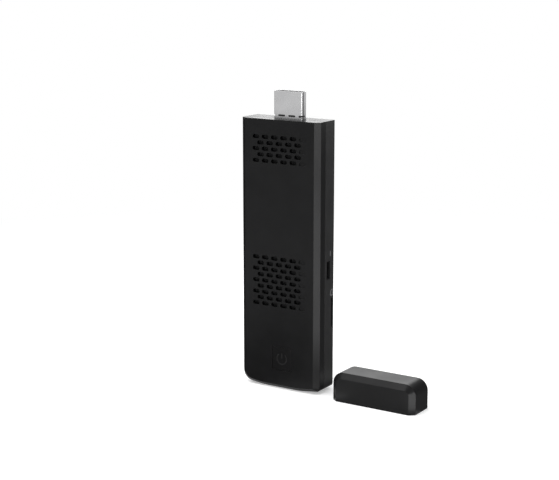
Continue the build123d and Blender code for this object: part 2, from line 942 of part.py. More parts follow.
# Flat ribbon from the fan to its connector on the board
connector_front_y = board_front_y - connector_thickness
ribbon_y = connector_front_y - ribbon_thickness / 2

with BuildPart() as fan_connector:
    with BuildSketch(facing(board_front_y)):
        with Locations((connector_x, connector_z)):
            Rectangle(connector_width, connector_height)
    extrude(amount=connector_thickness)

fan_connector.part.label = "fan_connector"
export_step(fan_connector.part, "parts/fan_connector.step")

with BuildPart() as fan_ribbon:
    with BuildSketch(across(connector_x - ribbon_width / 2)):
        with BuildLine():
            Polyline(
                (fan_rear_y - fan_base / 2, fan_foot_z),
                (fan_rear_y - fan_base / 2, fan_foot_z - ribbon_thickness),
                (ribbon_y, connector_z + connector_height / 2),
                (ribbon_y, connector_z - connector_height / 2),
            )
        trace(line_width=ribbon_thickness)
    extrude(amount=ribbon_width)

fan_ribbon.part.label = "fan_ribbon"
export_step(fan_ribbon.part, "parts/fan_ribbon.step")

# Display plug: folded shell with tabs on the board, core with a slot, and two rows of contacts
plug_block = plug_bar(0, plug_root_z, plug_tip_z)
plug_hollow = plug_bar(-plug_wall, plug_root_z - overrun, plug_tip_z + overrun)
plug_core_block = plug_bar(-plug_wall, plug_root_z, plug_core_z)

with BuildPart() as plug_shell:
    add(plug_block)
    add(plug_hollow, mode=Mode.SUBTRACT)
    with BuildSketch(facing(plug_y)):
        with Locations((plug_x - plug_window_shift, body_height + plug_window_rise)):
            with GridLocations(plug_window_pitch, plug_window_height, plug_window_count, 1):
                SlotOverall(plug_window_length, plug_window_height)
    extrude(amount=plug_depth, mode=Mode.SUBTRACT)
    with BuildSketch(level(body_height)):
        with Locations((plug_x, plug_y - plug_seam_rise)):
            with GridLocations(plug_width, plug_seam_width, 2, 1):
                Rectangle(2 * plug_seam_depth, plug_seam_width)
    extrude(amount=plug_length, mode=Mode.SUBTRACT)
    with BuildSketch(facing(board_front_y)):
        with Locations((plug_x, plug_root_z)):
            Rectangle(
                plug_width + 2 * plug_tab_width,
                plug_inner_length / 2,
                align=(Align.CENTER, Align.MIN),
            )
            Rectangle(
                plug_width - 2 * plug_wall,
                plug_inner_length / 2,
                align=(Align.CENTER, Align.MIN),
                mode=Mode.SUBTRACT,
            )
    extrude(amount=plug_wall)

plug_shell.part.label = "plug_shell"
export_step(plug_shell.part, "parts/plug_shell.step")

with BuildPart() as plug_core:
    add(plug_core_block)
    with BuildSketch(level(plug_slot_floor_z)):
        with Locations((plug_x, plug_y)):
            Rectangle(plug_slot_width, plug_slot_depth)
    extrude(amount=plug_slot_length + overrun, mode=Mode.SUBTRACT)

plug_core.part.label = "plug_core"
export_step(plug_core.part, "parts/plug_core.step")

contact_row_y = plug_slot_depth / 2 - plug_contact_thickness / 2

with BuildPart() as plug_contacts:
    with BuildSketch(level(plug_slot_floor_z)):
        with Locations((plug_x, plug_y - contact_row_y)):
            with GridLocations(plug_contact_pitch, plug_contact_thickness, plug_contact_count, 1):
                Rectangle(plug_contact_width, plug_contact_thickness)
        with Locations((plug_x, plug_y + contact_row_y)):
            with GridLocations(plug_contact_pitch, plug_contact_thickness, plug_contact_count - 1, 1):
                Rectangle(plug_contact_width, plug_contact_thickness)
    extrude(amount=plug_slot_length - plug_contact_setback)

plug_contacts.part.label = "plug_contacts"
export_step(plug_contacts.part, "parts/plug_contacts.step")

# Power inlet: folded shell sunk into the board's edge, tongue and contacts
inlet_inner_width = inlet_width - 2 * inlet_wall
inlet_inner_depth = inlet_depth - 2 * inlet_wall
inlet_inner_back_x = inlet_back_x + inlet_wall

with BuildPart() as inlet_shell:
    with BuildSketch(across(inlet_back_x)):
        with Locations((inlet_y, inlet_z)):
            RectangleRounded(inlet_depth, inlet_width, inlet_corner_radius)
    extrude(amount=inlet_length)
    with BuildSketch(across(inlet_inner_back_x)):
        with Locations((inlet_y, inlet_z)):
            RectangleRounded(inlet_inner_depth, inlet_inner_width, inlet_corner_radius - inlet_wall)
    extrude(amount=inlet_length, mode=Mode.SUBTRACT)

inlet_shell.part.label = "inlet_shell"
export_step(inlet_shell.part, "parts/inlet_shell.step")

inlet_tongue_front_x = inlet_mouth_x - inlet_tongue_setback

with BuildPart() as inlet_tongue:
    with BuildSketch(across(inlet_inner_back_x)):
        with Locations((inlet_y, inlet_z)):
            RectangleRounded(inlet_inner_depth, inlet_inner_width, inlet_corner_radius - inlet_wall)
    extrude(amount=inlet_base_length)
    with BuildSketch(across(inlet_inner_back_x)):
        with Locations((inlet_y, inlet_z)):
            Rectangle(inlet_tongue_thickness, inlet_tongue_width)
    extrude(amount=inlet_tongue_front_x - inlet_inner_back_x)

inlet_tongue.part.label = "inlet_tongue"
export_step(inlet_tongue.part, "parts/inlet_tongue.step")

with BuildPart() as inlet_contacts:
    with BuildSketch(across(inlet_inner_back_x + inlet_base_length)):
        with Locations((inlet_y - (inlet_tongue_thickness + inlet_contact_thickness) / 2, inlet_z)):
            with GridLocations(inlet_contact_thickness, inlet_contact_pitch, 1, inlet_contact_count):
                Rectangle(inlet_contact_thickness, inlet_contact_width)
    extrude(amount=inlet_tongue_front_x - inlet_inner_back_x - inlet_base_length - inlet_wall)

inlet_contacts.part.label = "inlet_contacts"
export_step(inlet_contacts.part, "parts/inlet_contacts.step")

# Memory card socket on the rear of the board: pressed cover, base and contacts
card_x = (card_mouth_x + card_back_x) / 2
card_cover_rear_y = board_rear_y + card_socket_height
card_inner_width = card_socket_width - 2 * card_sheet

with BuildPart() as card_cover:
    with BuildSketch(facing(card_cover_rear_y)):
        with Locations((card_x, card_z)):
            Rectangle(card_socket_length, card_socket_width)
    extrude(amount=card_socket_height)
    with BuildSketch(facing(card_cover_rear_y - card_sheet)):
        with Locations((card_back_x + card_sheet, card_z)):
            Rectangle(card_socket_length, card_inner_width, align=(Align.MIN, Align.CENTER))
    extrude(amount=card_socket_height, mode=Mode.SUBTRACT)

card_cover.part.label = "card_cover"
export_step(card_cover.part, "parts/card_cover.step")

card_base_length = card_socket_length - card_sheet - card_base_gap

with BuildPart() as card_base:
    with BuildSketch(facing(board_rear_y + card_base_thickness)):
        with Locations((card_back_x + card_sheet, card_z)):
            Rectangle(card_base_length, card_inner_width, align=(Align.MIN, Align.CENTER))
    extrude(amount=card_base_thickness)

card_base.part.label = "card_base"
export_step(card_base.part, "parts/card_base.step")

with BuildPart() as card_contacts:
    with BuildSketch(facing(board_rear_y + card_base_thickness + card_contact_thickness)):
        with Locations((card_back_x + card_contact_setback + card_contact_length / 2, card_z)):
            with GridLocations(card_contact_length, card_contact_pitch, 1, card_contact_count):
                Rectangle(card_contact_length, card_contact_width)
    extrude(amount=card_contact_thickness)

card_contacts.part.label = "card_contacts"
export_step(card_contacts.part, "parts/card_contacts.step")

# Full-size socket on the left side: folded shell on the board, tongue and contacts
socket_inner_width = socket_width - 2 * socket_wall
socket_inner_depth = socket_depth - 2 * socket_wall
socket_inner_back_x = socket_back_x - socket_wall

with BuildPart() as socket_shell:
    with BuildSketch(across(socket_mouth_x)):
        with Locations((socket_y, socket_z)):
            RectangleRounded(socket_depth, socket_width, socket_corner_radius)
    extrude(amount=socket_length)
    with BuildSketch(across(socket_mouth_x - overrun)):
        with Locations((socket_y, socket_z)):
            RectangleRounded(socket_inner_depth, socket_inner_width, socket_corner_radius - socket_wall)
    extrude(amount=socket_length + overrun - socket_wall, mode=Mode.SUBTRACT)

socket_shell.part.label = "socket_shell"
export_step(socket_shell.part, "parts/socket_shell.step")

tongue_y = socket_y + socket_tongue_offset
tongue_front_x = socket_mouth_x + socket_tongue_setback

with BuildPart() as socket_tongue:
    with BuildSketch(across(socket_inner_back_x - socket_base_length)):
        with Locations((socket_y, socket_z)):
            RectangleRounded(socket_inner_depth, socket_inner_width, socket_corner_radius - socket_wall)
    extrude(amount=socket_base_length)
    with BuildSketch(across(tongue_front_x)):
        with Locations((tongue_y, socket_z)):
            Rectangle(socket_tongue_thickness, socket_tongue_width)
    extrude(amount=socket_inner_back_x - tongue_front_x)

socket_tongue.part.label = "socket_tongue"
export_step(socket_tongue.part, "parts/socket_tongue.step")

socket_contact_y = tongue_y - (socket_tongue_thickness + socket_contact_thickness) / 2
socket_contact_front_x = tongue_front_x + socket_contact_setback

with BuildPart() as socket_contacts:
    with BuildSketch(across(socket_contact_front_x)):
        with Locations((socket_contact_y, socket_z)):
            with GridLocations(socket_contact_thickness, socket_contact_pitch, 1, socket_contact_count):
                Rectangle(socket_contact_thickness, socket_contact_width)
    extrude(amount=socket_inner_back_x - socket_base_length - socket_contact_front_x)

socket_contacts.part.label = "socket_contacts"
export_step(socket_contacts.part, "parts/socket_contacts.step")


def cap_outline(side_inset, top_inset):
    """Front outline of the cap, open at its foot and with two round upper corners."""
    Rectangle(
        body_width - 2 * side_inset,
        cap_height - top_inset,
        align=(Align.CENTER, Align.MIN),
    )
    fillet(vertices().group_by(Axis.Y)[-1], max(cap_corner_radius - top_inset, least_radius))


def cap_slab(side_inset, top_inset, slab_rear_y, slab_front_y):
    """Slab of the cap's outline between two depths, bevelled round its front but not its foot."""
    bevel_start_y = slab_front_y + bevel_depth
    with BuildPart() as slab:
        with BuildSketch(cap_facing(slab_rear_y)):
            cap_outline(side_inset, top_inset)
        extrude(amount=slab_rear_y - bevel_start_y)
        with BuildSketch(cap_facing(bevel_start_y)):
            cap_outline(side_inset, top_inset)
        with BuildSketch(cap_facing(slab_front_y)):
            cap_outline(side_inset + bevel_width, top_inset + bevel_width)
        loft(ruled=True)
    return slab.part


# Cap: outer cover with the stick's section, hollow inside, thinned over the plug's tip
grip_top_z = cap_height - cap_roof
grip_rear_y = rear_y - cap_wall - grip_fit
grip_front_y = front_y + cap_wall + grip_fit
cap_block = cap_slab(0, 0, rear_y, front_y)
cap_hollow = cap_slab(cap_wall, cap_roof, rear_y - cap_wall, front_y + cap_wall)
grip_block = cap_slab(cap_wall + grip_fit, cap_roof, grip_rear_y, grip_front_y)

with BuildPart() as plug_cap:
    add(cap_block)
    cap_back = plug_cap.faces().sort_by(Axis.Y)[-1]
    fillet(cap_back.edges().sort_by(Axis.Z)[1:], rear_edge_radius)
    add(cap_hollow, mode=Mode.SUBTRACT)
    with BuildSketch(Plane(origin=(cap_x, cap_y, grip_top_z - overrun))):
        plug_outline(grip_clearance)
    extrude(amount=overrun + cap_roof - cap_roof_over_plug, mode=Mode.SUBTRACT)

plug_cap.part.label = "plug_cap"
export_step(plug_cap.part, "parts/plug_cap.step")

# Grip inside the cap: a block that slides over the plug
grip_width = plug_width + 2 * grip_clearance + 2 * grip_wall

with BuildPart() as cap_grip:
    add(grip_block)
    with BuildSketch(Plane(origin=(cap_x + plug_x, cap_y, cap_lip_recess))):
        Rectangle(grip_width, body_depth)
    extrude(amount=cap_height, mode=Mode.INTERSECT)
    with BuildSketch(Plane(origin=(cap_x, cap_y, 0))):
        plug_outline(grip_clearance)
    extrude(amount=cap_height, mode=Mode.SUBTRACT)

cap_grip.part.label = "cap_grip"
export_step(cap_grip.part, "parts/cap_grip.step")
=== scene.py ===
"""Dresses the stick computer and its loose cap for a studio picture.

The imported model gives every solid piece. This script paints those pieces with procedural finishes,
adds the two printed marks of the right side, and sets up the floor, the lamps and the camera.
All lengths are in metres unless a name ends in _mm.
"""

import logging
import math
from dataclasses import dataclass, field
from enum import Enum

import bpy
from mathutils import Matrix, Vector


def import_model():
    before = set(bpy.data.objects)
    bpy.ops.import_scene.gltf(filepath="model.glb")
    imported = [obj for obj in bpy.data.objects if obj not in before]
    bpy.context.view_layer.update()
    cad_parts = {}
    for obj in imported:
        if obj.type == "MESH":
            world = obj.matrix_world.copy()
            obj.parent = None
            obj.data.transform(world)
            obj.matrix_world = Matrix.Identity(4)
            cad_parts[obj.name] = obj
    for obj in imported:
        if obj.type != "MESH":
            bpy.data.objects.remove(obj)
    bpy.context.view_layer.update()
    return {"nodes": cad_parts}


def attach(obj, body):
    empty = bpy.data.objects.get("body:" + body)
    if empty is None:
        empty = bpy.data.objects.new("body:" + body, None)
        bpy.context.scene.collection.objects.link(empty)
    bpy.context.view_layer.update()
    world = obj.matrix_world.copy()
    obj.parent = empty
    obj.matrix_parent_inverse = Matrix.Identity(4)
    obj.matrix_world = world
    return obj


LOG = logging.getLogger("stick_computer")
MM = 0.001
Pair = tuple[float, float]
Colour = tuple[float, float, float]
Socket = bpy.types.NodeSocket
WHITE = (1.0, 1.0, 1.0, 1.0)
ORIGIN = (0.0, 0.0, 0.0)


def millimetres(*values: float) -> Vector:
    """Returns a point given in millimetres as a vector in metres."""
    return Vector([value * MM for value in values])


def blank_material(name: str) -> bpy.types.Material:
    """Returns a new material with no nodes in it."""
    material = bpy.data.materials.new(name)
    material.use_nodes = True
    material.node_tree.nodes.clear()
    return material


def deselect() -> None:
    """Leaves nothing selected."""
    bpy.ops.object.select_all(action="DESELECT")


def pick(piece: bpy.types.Object) -> None:
    """Makes a piece the only one selected, and the active one."""
    deselect()
    piece.select_set(True)
    bpy.context.view_layer.objects.active = piece


def settle(piece: bpy.types.Object) -> None:
    """Moves a piece's place into its mesh, so that its object sits at the origin."""
    pick(piece)
    bpy.ops.object.transform_apply(location=True, rotation=True, scale=True)


class Slot(Enum):
    """Finishes that the record names and that a new piece can take."""

    SIDE_PRINT = "screen_grey"


class Effect(Enum):
    """Shared surface effects, each a shader node group."""

    GRAIN = "Moulded grain"
    WEAR = "Edge wear"
    DUST = "Settled dust"
    SMUDGE = "Handling smudges"
    BRUSHED = "Brushed lines"
    WOVEN = "Woven mesh"
    MOTTLE = "Colour mottle"
    SOFT_EDGE = "Softened edge"


class NodeBench:
    """Adds nodes to one tree and links them by socket name.

    Attributes:
        COLUMN_WIDTH: How far apart the nodes stand in the tree.
    """

    COLUMN_WIDTH = 190.0

    def __init__(self, tree: bpy.types.NodeTree) -> None:
        """Starts on a tree.

        Args:
            tree: The material's or group's node tree.
        """
        self.tree = tree
        self.column = 0

    def add(self, kind: str, **settings: object) -> bpy.types.Node:
        """Adds a node.

        Args:
            kind: The node's type name.
            settings: Attributes to set on the node.

        Returns:
            The new node.
        """
        node = self.tree.nodes.new(kind)
        node.location = (self.column * self.COLUMN_WIDTH, 0.0)
        self.column += 1
        for name, value in settings.items():
            setattr(node, name, value)
        return node

    def find(self, kind: str) -> bpy.types.Node:
        """Returns the tree's first node of a type."""
        return next(node for node in self.tree.nodes if node.bl_idname == kind)

    def join(self, source: Socket, target: Socket) -> None:
        """Links an output socket to an input socket."""
        self.tree.links.new(source, target)

    def math(self, operation: str, first: object, second: object = 0.0) -> Socket:
        """Adds a Math node.

        Args:
            operation: The operation's name, such as MULTIPLY.
            first: A socket or a number.
            second: A socket or a number.

        Returns:
            The node's output socket.
        """
        node = self.add("ShaderNodeMath", operation=operation)
        for index, value in enumerate((first, second)):
            if isinstance(value, Socket):
                self.join(value, node.inputs[index])
            else:
                node.inputs[index].default_value = float(value)
        return node.outputs[0]

    def ramp(self, value: Socket, low: float, high: float) -> Socket:
        """Maps a value smoothly from low..high to 0..1 and returns the result's socket."""
        node = self.add("ShaderNodeMapRange", interpolation_type="SMOOTHSTEP")
        self.join(value, node.inputs["Value"])
        node.inputs["From Min"].default_value = low
        node.inputs["From Max"].default_value = high
        return node.outputs["Result"]

    def noise(self, vector: Socket, scale: object, detail: float) -> Socket:
        """Adds a noise texture and returns its value socket.

        Args:
            vector: The coordinates.
            scale: A socket or a number.
            detail: The number of octaves.

        Returns:
            The noise value's socket.
        """
        node = self.add("ShaderNodeTexNoise")
        self.join(vector, node.inputs["Vector"])
        if isinstance(scale, Socket):
            self.join(scale, node.inputs["Scale"])
        else:
            node.inputs["Scale"].default_value = scale
        node.inputs["Detail"].default_value = detail
        return node.outputs[0]

    def blend(self, factor: Socket, first: object, second: object) -> Socket:
        """Mixes two colours and returns the mix's socket.

        Args:
            factor: The share of the second colour.
            first: A socket or a colour.
            second: A socket or a colour.

        Returns:
            The mixed colour's socket.
        """
        node = self.add("ShaderNodeMix", data_type="RGBA")
        self.join(factor, node.inputs["Factor"])
        for name, value in (("A", first), ("B", second)):
            socket = next(s for s in node.inputs if s.name == name and s.type == "RGBA")
            if isinstance(value, Socket):
                self.join(value, socket)
            else:
                socket.default_value = (*value, 1.0)
        return next(s for s in node.outputs if s.type == "RGBA")

    def product(self, first: object, *others: object) -> Socket:
        """Multiplies two or more sockets or numbers and returns the product's socket."""
        total = first
        for other in others:
            total = self.math("MULTIPLY", total, other)
        return total

    def distance(self, value: Socket, centre: float) -> Socket:
        """Returns how far a value lies from a centre, without its sign."""
        return self.math("ABSOLUTE", self.math("SUBTRACT", value, centre))

    def axes(self, vector: Socket) -> bpy.types.bpy_prop_collection:
        """Returns the X, Y and Z sockets of a vector."""
        split = self.add("ShaderNodeSeparateXYZ")
        self.join(vector, split.inputs[0])
        return split.outputs

    def seen(self) -> Socket:
        """Returns 1 for what is seen straight, in gloss or through a clear piece, and 0 if not."""
        path = self.add("ShaderNodeLightPath").outputs
        mirrored = self.math("MAXIMUM", path["Is Glossy Ray"], path["Is Transmission Ray"])
        return self.math("MAXIMUM", path["Is Camera Ray"], mirrored)

    def glow(self, level: object) -> Socket:
        """Adds a white glow of a level, a socket or a number, and returns its socket."""
        node = self.add("ShaderNodeEmission")
        node.inputs["Color"].default_value = WHITE
        if isinstance(level, Socket):
            self.join(level, node.inputs["Strength"])
        else:
            node.inputs["Strength"].default_value = level
        return node.outputs[0]


class GroupBench(NodeBench):
    """Builds one shared effect as a node group.

    Attributes:
        KINDS: A socket's type by how many numbers it holds.
    """

    KINDS = {1: "NodeSocketFloat", 3: "NodeSocketVector", 4: "NodeSocketColor"}

    def __init__(self, effect: Effect, inputs: dict[str, object], outputs: dict[str, int]) -> None:
        """Starts the group with its sockets.

        Args:
            effect: The effect that the group makes.
            inputs: Each input's name and starting value.
            outputs: Each output's name and how many numbers it holds.
        """
        super().__init__(bpy.data.node_groups.new(effect.value, "ShaderNodeTree"))
        for label, value in inputs.items():
            kind = self.KINDS[len(value) if isinstance(value, tuple) else 1]
            socket = self.tree.interface.new_socket(name=label, in_out="INPUT", socket_type=kind)
            socket.default_value = value
        for label, count in outputs.items():
            kind = self.KINDS[count]
            self.tree.interface.new_socket(name=label, in_out="OUTPUT", socket_type=kind)
        self.given = self.add("NodeGroupInput").outputs
        self.made = self.add("NodeGroupOutput").inputs

    def patches(self, octaves: float, span: Pair) -> Socket:
        """Returns soft patches from 0 to 1, laid out by the group's own vector and scale.

        Args:
            octaves: The noise's detail.
            span: Noise values that become 0 and 1.

        Returns:
            The patches' socket.
        """
        return self.ramp(self.noise(self.given["Vector"], self.given["Scale"], octaves), *span)

    def finish(self, **results: Socket) -> bpy.types.NodeTree:
        """Joins the results to the group's outputs and returns the group."""
        for label, result in results.items():
            self.join(result, self.made[label])
        return self.tree


class EffectShop:
    """Builds each shared surface effect once.

    Attributes:
        COARSE, FINE, BROKEN: Octaves of a plain, a detailed and a ragged noise.
        WEAR_SAMPLES, EDGE_SAMPLES: Samples of the rounded normal in wear and in softened edges.
        WIDE_SHARE, BROAD_SHARE: Scale of the slow variation, as a share of the fine one's.
        CELL_SHARE: How much the cells count in the grain's height.
        EDGE_SPAN: Bend of the rounded normal, from no edge to a full one.
        BREAK_SPAN: Noise values between unbroken and broken wear.
        UPWARD_SPAN: How far a face looks up, from no dust to all of it.
        SPECK_SPAN: Noise values between clean and dusty.
        DRIFT_SPAN: Noise values between the least and the greatest roughness.
        THREAD_SPAN: Heights between a gap and a thread.
        MOTTLE_SPAN: Noise values between the base and the second colour.
    """

    COARSE, FINE, BROKEN = 2.0, 4.0, 5.0
    WEAR_SAMPLES, EDGE_SAMPLES = 4, 6
    WIDE_SHARE, BROAD_SHARE = 0.35, 0.2
    CELL_SHARE = 0.6
    EDGE_SPAN = (0.02, 0.2)
    BREAK_SPAN = (0.42, 0.62)
    UPWARD_SPAN = (0.2, 0.95)
    SPECK_SPAN = (0.66, 0.78)
    DRIFT_SPAN = (0.35, 0.7)
    THREAD_SPAN = (0.45, 0.8)
    MOTTLE_SPAN = (0.3, 0.75)

    def __init__(self) -> None:
        """Builds all groups."""
        self.groups: dict[Effect, bpy.types.NodeTree] = {
            Effect.GRAIN: self.grain(),
            Effect.WEAR: self.wear(),
            Effect.DUST: self.dust(),
            Effect.SMUDGE: self.smudge(),
            Effect.BRUSHED: self.brushed(),
            Effect.WOVEN: self.woven(),
            Effect.MOTTLE: self.mottle(),
            Effect.SOFT_EDGE: self.soft_edge(),
        }

    def grain(self) -> bpy.types.NodeTree:
        """Returns the fine pebbled grain of moulded plastic."""
        inputs = {"Vector": ORIGIN, "Scale": 6000.0}
        bench = GroupBench(Effect.GRAIN, inputs, {"Height": 1, "Variation": 1})
        cells = bench.add("ShaderNodeTexVoronoi", feature="SMOOTH_F1")
        for label in ("Vector", "Scale"):
            bench.join(bench.given[label], cells.inputs[label])
        wide_scale = bench.product(bench.given["Scale"], self.WIDE_SHARE)
        wide = bench.noise(bench.given["Vector"], wide_scale, self.FINE)
        height = bench.math("ADD", bench.product(cells.outputs["Distance"], self.CELL_SHARE), wide)
        return bench.finish(Height=height, Variation=wide)

    def wear(self) -> bpy.types.NodeTree:
        """Returns the broken polish along edges, where the true normal and a rounded one differ."""
        inputs = {"Vector": ORIGIN, "Radius": 0.0002, "Scale": 900.0, "Amount": 0.5}
        bench = GroupBench(Effect.WEAR, inputs, {"Mask": 1})
        rounded = bench.add("ShaderNodeBevel", samples=self.WEAR_SAMPLES)
        bench.join(bench.given["Radius"], rounded.inputs["Radius"])
        angle = bench.add("ShaderNodeVectorMath", operation="DOT_PRODUCT")
        bench.join(rounded.outputs["Normal"], angle.inputs[0])
        bench.join(bench.add("ShaderNodeNewGeometry").outputs["True Normal"], angle.inputs[1])
        edge = bench.ramp(bench.math("SUBTRACT", 1.0, angle.outputs["Value"]), *self.EDGE_SPAN)
        broken = bench.patches(self.BROKEN, self.BREAK_SPAN)
        return bench.finish(Mask=bench.product(edge, broken, bench.given["Amount"]))

    def dust(self) -> bpy.types.NodeTree:
        """Returns the fine specks that settle on what faces up."""
        inputs = {"Vector": ORIGIN, "Scale": 1800.0, "Amount": 0.2}
        bench = GroupBench(Effect.DUST, inputs, {"Mask": 1})
        facing = bench.axes(bench.add("ShaderNodeNewGeometry").outputs["Normal"])
        upward = bench.ramp(facing["Z"], *self.UPWARD_SPAN)
        specks = bench.patches(self.COARSE, self.SPECK_SPAN)
        return bench.finish(Mask=bench.product(upward, specks, bench.given["Amount"]))

    def smudge(self) -> bpy.types.NodeTree:
        """Returns a roughness that drifts between two values, as where hands have been."""
        inputs = {"Vector": ORIGIN, "Scale": 60.0, "Low": 0.2, "High": 0.3}
        bench = GroupBench(Effect.SMUDGE, inputs, {"Roughness": 1})
        drift = bench.patches(self.FINE, self.DRIFT_SPAN)
        span = bench.math("SUBTRACT", bench.given["High"], bench.given["Low"])
        above = bench.product(drift, span)
        return bench.finish(Roughness=bench.math("ADD", bench.given["Low"], above))

    def brushed(self) -> bpy.types.NodeTree:
        """Returns fine lines drawn out along one direction, as on rolled or brushed sheet."""
        inputs = {"Vector": ORIGIN, "Stretch": (1.0, 1.0, 0.04), "Scale": 5000.0}
        bench = GroupBench(Effect.BRUSHED, inputs, {"Height": 1, "Variation": 1})
        drawn = bench.add("ShaderNodeVectorMath", operation="MULTIPLY")
        bench.join(bench.given["Vector"], drawn.inputs[0])
        bench.join(bench.given["Stretch"], drawn.inputs[1])
        fine = bench.noise(drawn.outputs["Vector"], bench.given["Scale"], self.FINE)
        broad_scale = bench.product(bench.given["Scale"], self.BROAD_SHARE)
        broad = bench.noise(drawn.outputs["Vector"], broad_scale, self.COARSE)
        return bench.finish(Height=fine, Variation=broad)

    def woven(self) -> bpy.types.NodeTree:
        """Returns a mesh of crossing threads across X and Z."""
        inputs = {"Vector": ORIGIN, "Threads per metre": 2600.0}
        bench = GroupBench(Effect.WOVEN, inputs, {"Height": 1, "Mask": 1})
        place = bench.axes(bench.given["Vector"])
        turn = bench.product(bench.given["Threads per metre"], math.tau)
        waves = [bench.math("SINE", bench.product(place[axis], turn)) for axis in "XZ"]
        height = bench.math("MAXIMUM", *[bench.math("ABSOLUTE", wave) for wave in waves])
        return bench.finish(Height=height, Mask=bench.ramp(height, *self.THREAD_SPAN))

    def mottle(self) -> bpy.types.NodeTree:
        """Returns a base colour that drifts a little towards a second one."""
        inputs = {"Vector": ORIGIN, "Scale": 140.0, "Base": WHITE, "Drift": WHITE}
        bench = GroupBench(Effect.MOTTLE, inputs, {"Color": 4})
        share = bench.patches(self.FINE, self.MOTTLE_SPAN)
        return bench.finish(Color=bench.blend(share, bench.given["Base"], bench.given["Drift"]))

    def soft_edge(self) -> bpy.types.NodeTree:
        """Returns a normal that rounds each sharp edge by a small radius."""
        bench = GroupBench(Effect.SOFT_EDGE, {"Radius": 0.00015}, {"Normal": 3})
        rounded = bench.add("ShaderNodeBevel", samples=self.EDGE_SAMPLES)
        bench.join(bench.given["Radius"], rounded.inputs["Radius"])
        return bench.finish(Normal=rounded.outputs["Normal"])


class MaterialBench(NodeBench):
    """Builds one surface material from shared effects and one Principled shader."""

    def __init__(self, name: str, shop: EffectShop) -> None:
        """Starts an empty material.

        Args:
            name: The material's name.
            shop: Where the shared effects are kept.
        """
        self.material = blank_material(name)
        super().__init__(self.material.node_tree)
        self.shop = shop
        self.output = self.add("ShaderNodeOutputMaterial")
        self.shader = self.add("ShaderNodeBsdfPrincipled")
        self.join(self.shader.outputs[0], self.output.inputs["Surface"])
        self.place = self.add("ShaderNodeTexCoord").outputs["Object"]

    def effect(self, effect: Effect, **values: object) -> bpy.types.Node:
        """Places a shared effect with its own values.

        Args:
            effect: The effect to place.
            values: Input values, with underscores for the spaces in a socket's name.

        Returns:
            The group node.
        """
        node = self.add("ShaderNodeGroup", node_tree=self.shop.groups[effect])
        if "Vector" in node.inputs:
            self.join(self.place, node.inputs["Vector"])
        for name, value in values.items():
            node.inputs[name.replace("_", " ")].default_value = value
        return node

    def drifting(self, scale: float, base: Colour, drift: Colour) -> Socket:
        """Returns a colour that drifts between two, with a scale in patches per metre."""
        node = self.effect(Effect.MOTTLE, Scale=scale, Base=(*base, 1.0), Drift=(*drift, 1.0))
        return node.outputs["Color"]

    def handled(self, scale: float, low: float, high: float) -> Socket:
        """Returns a roughness that drifts between two, with a scale in patches per metre."""
        return self.effect(Effect.SMUDGE, Scale=scale, Low=low, High=high).outputs["Roughness"]

    def relief(self, height: Socket, depth: float, strength: float, edge_radius: float) -> None:
        """Feeds the shader's normal from a height, over softened edges.

        Args:
            height: The height's socket, from 0 to about 1.
            depth: What a height of 1 stands for, in metres.
            strength: The bump's share, from 0 to 1.
            edge_radius: How far sharp edges are rounded, in metres.
        """
        bump = self.add("ShaderNodeBump")
        bump.inputs["Distance"].default_value = depth
        bump.inputs["Strength"].default_value = strength
        self.join(height, bump.inputs["Height"])
        if edge_radius:
            soft = self.effect(Effect.SOFT_EDGE, Radius=edge_radius)
            self.join(soft.outputs["Normal"], bump.inputs["Normal"])
        self.join(bump.outputs["Normal"], self.shader.inputs["Normal"])


class PaintBench(NodeBench):
    """Paints over a part of a finished material."""

    def __init__(self, material: bpy.types.Material) -> None:
        """Finds the material's shader and its colour.

        Args:
            material: The finished material.
        """
        super().__init__(material.node_tree)
        self.shader = self.find("ShaderNodeBsdfPrincipled")
        self.under = self.shader.inputs["Base Color"].links[0].from_socket
        self.place = self.axes(self.add("ShaderNodeTexCoord").outputs["Object"])

    def band(self, axis: str, centre: float, half_width: float) -> Socket:
        """Returns 1 within a distance of a centre along an axis, and 0 past it."""
        return self.math("LESS_THAN", self.distance(self.place[axis], centre), half_width)

    def paint(self, mask: Socket, colour: Colour) -> None:
        """Lays a colour over the material's own where the mask is 1."""
        self.join(self.blend(mask, self.under, colour), self.shader.inputs["Base Color"])


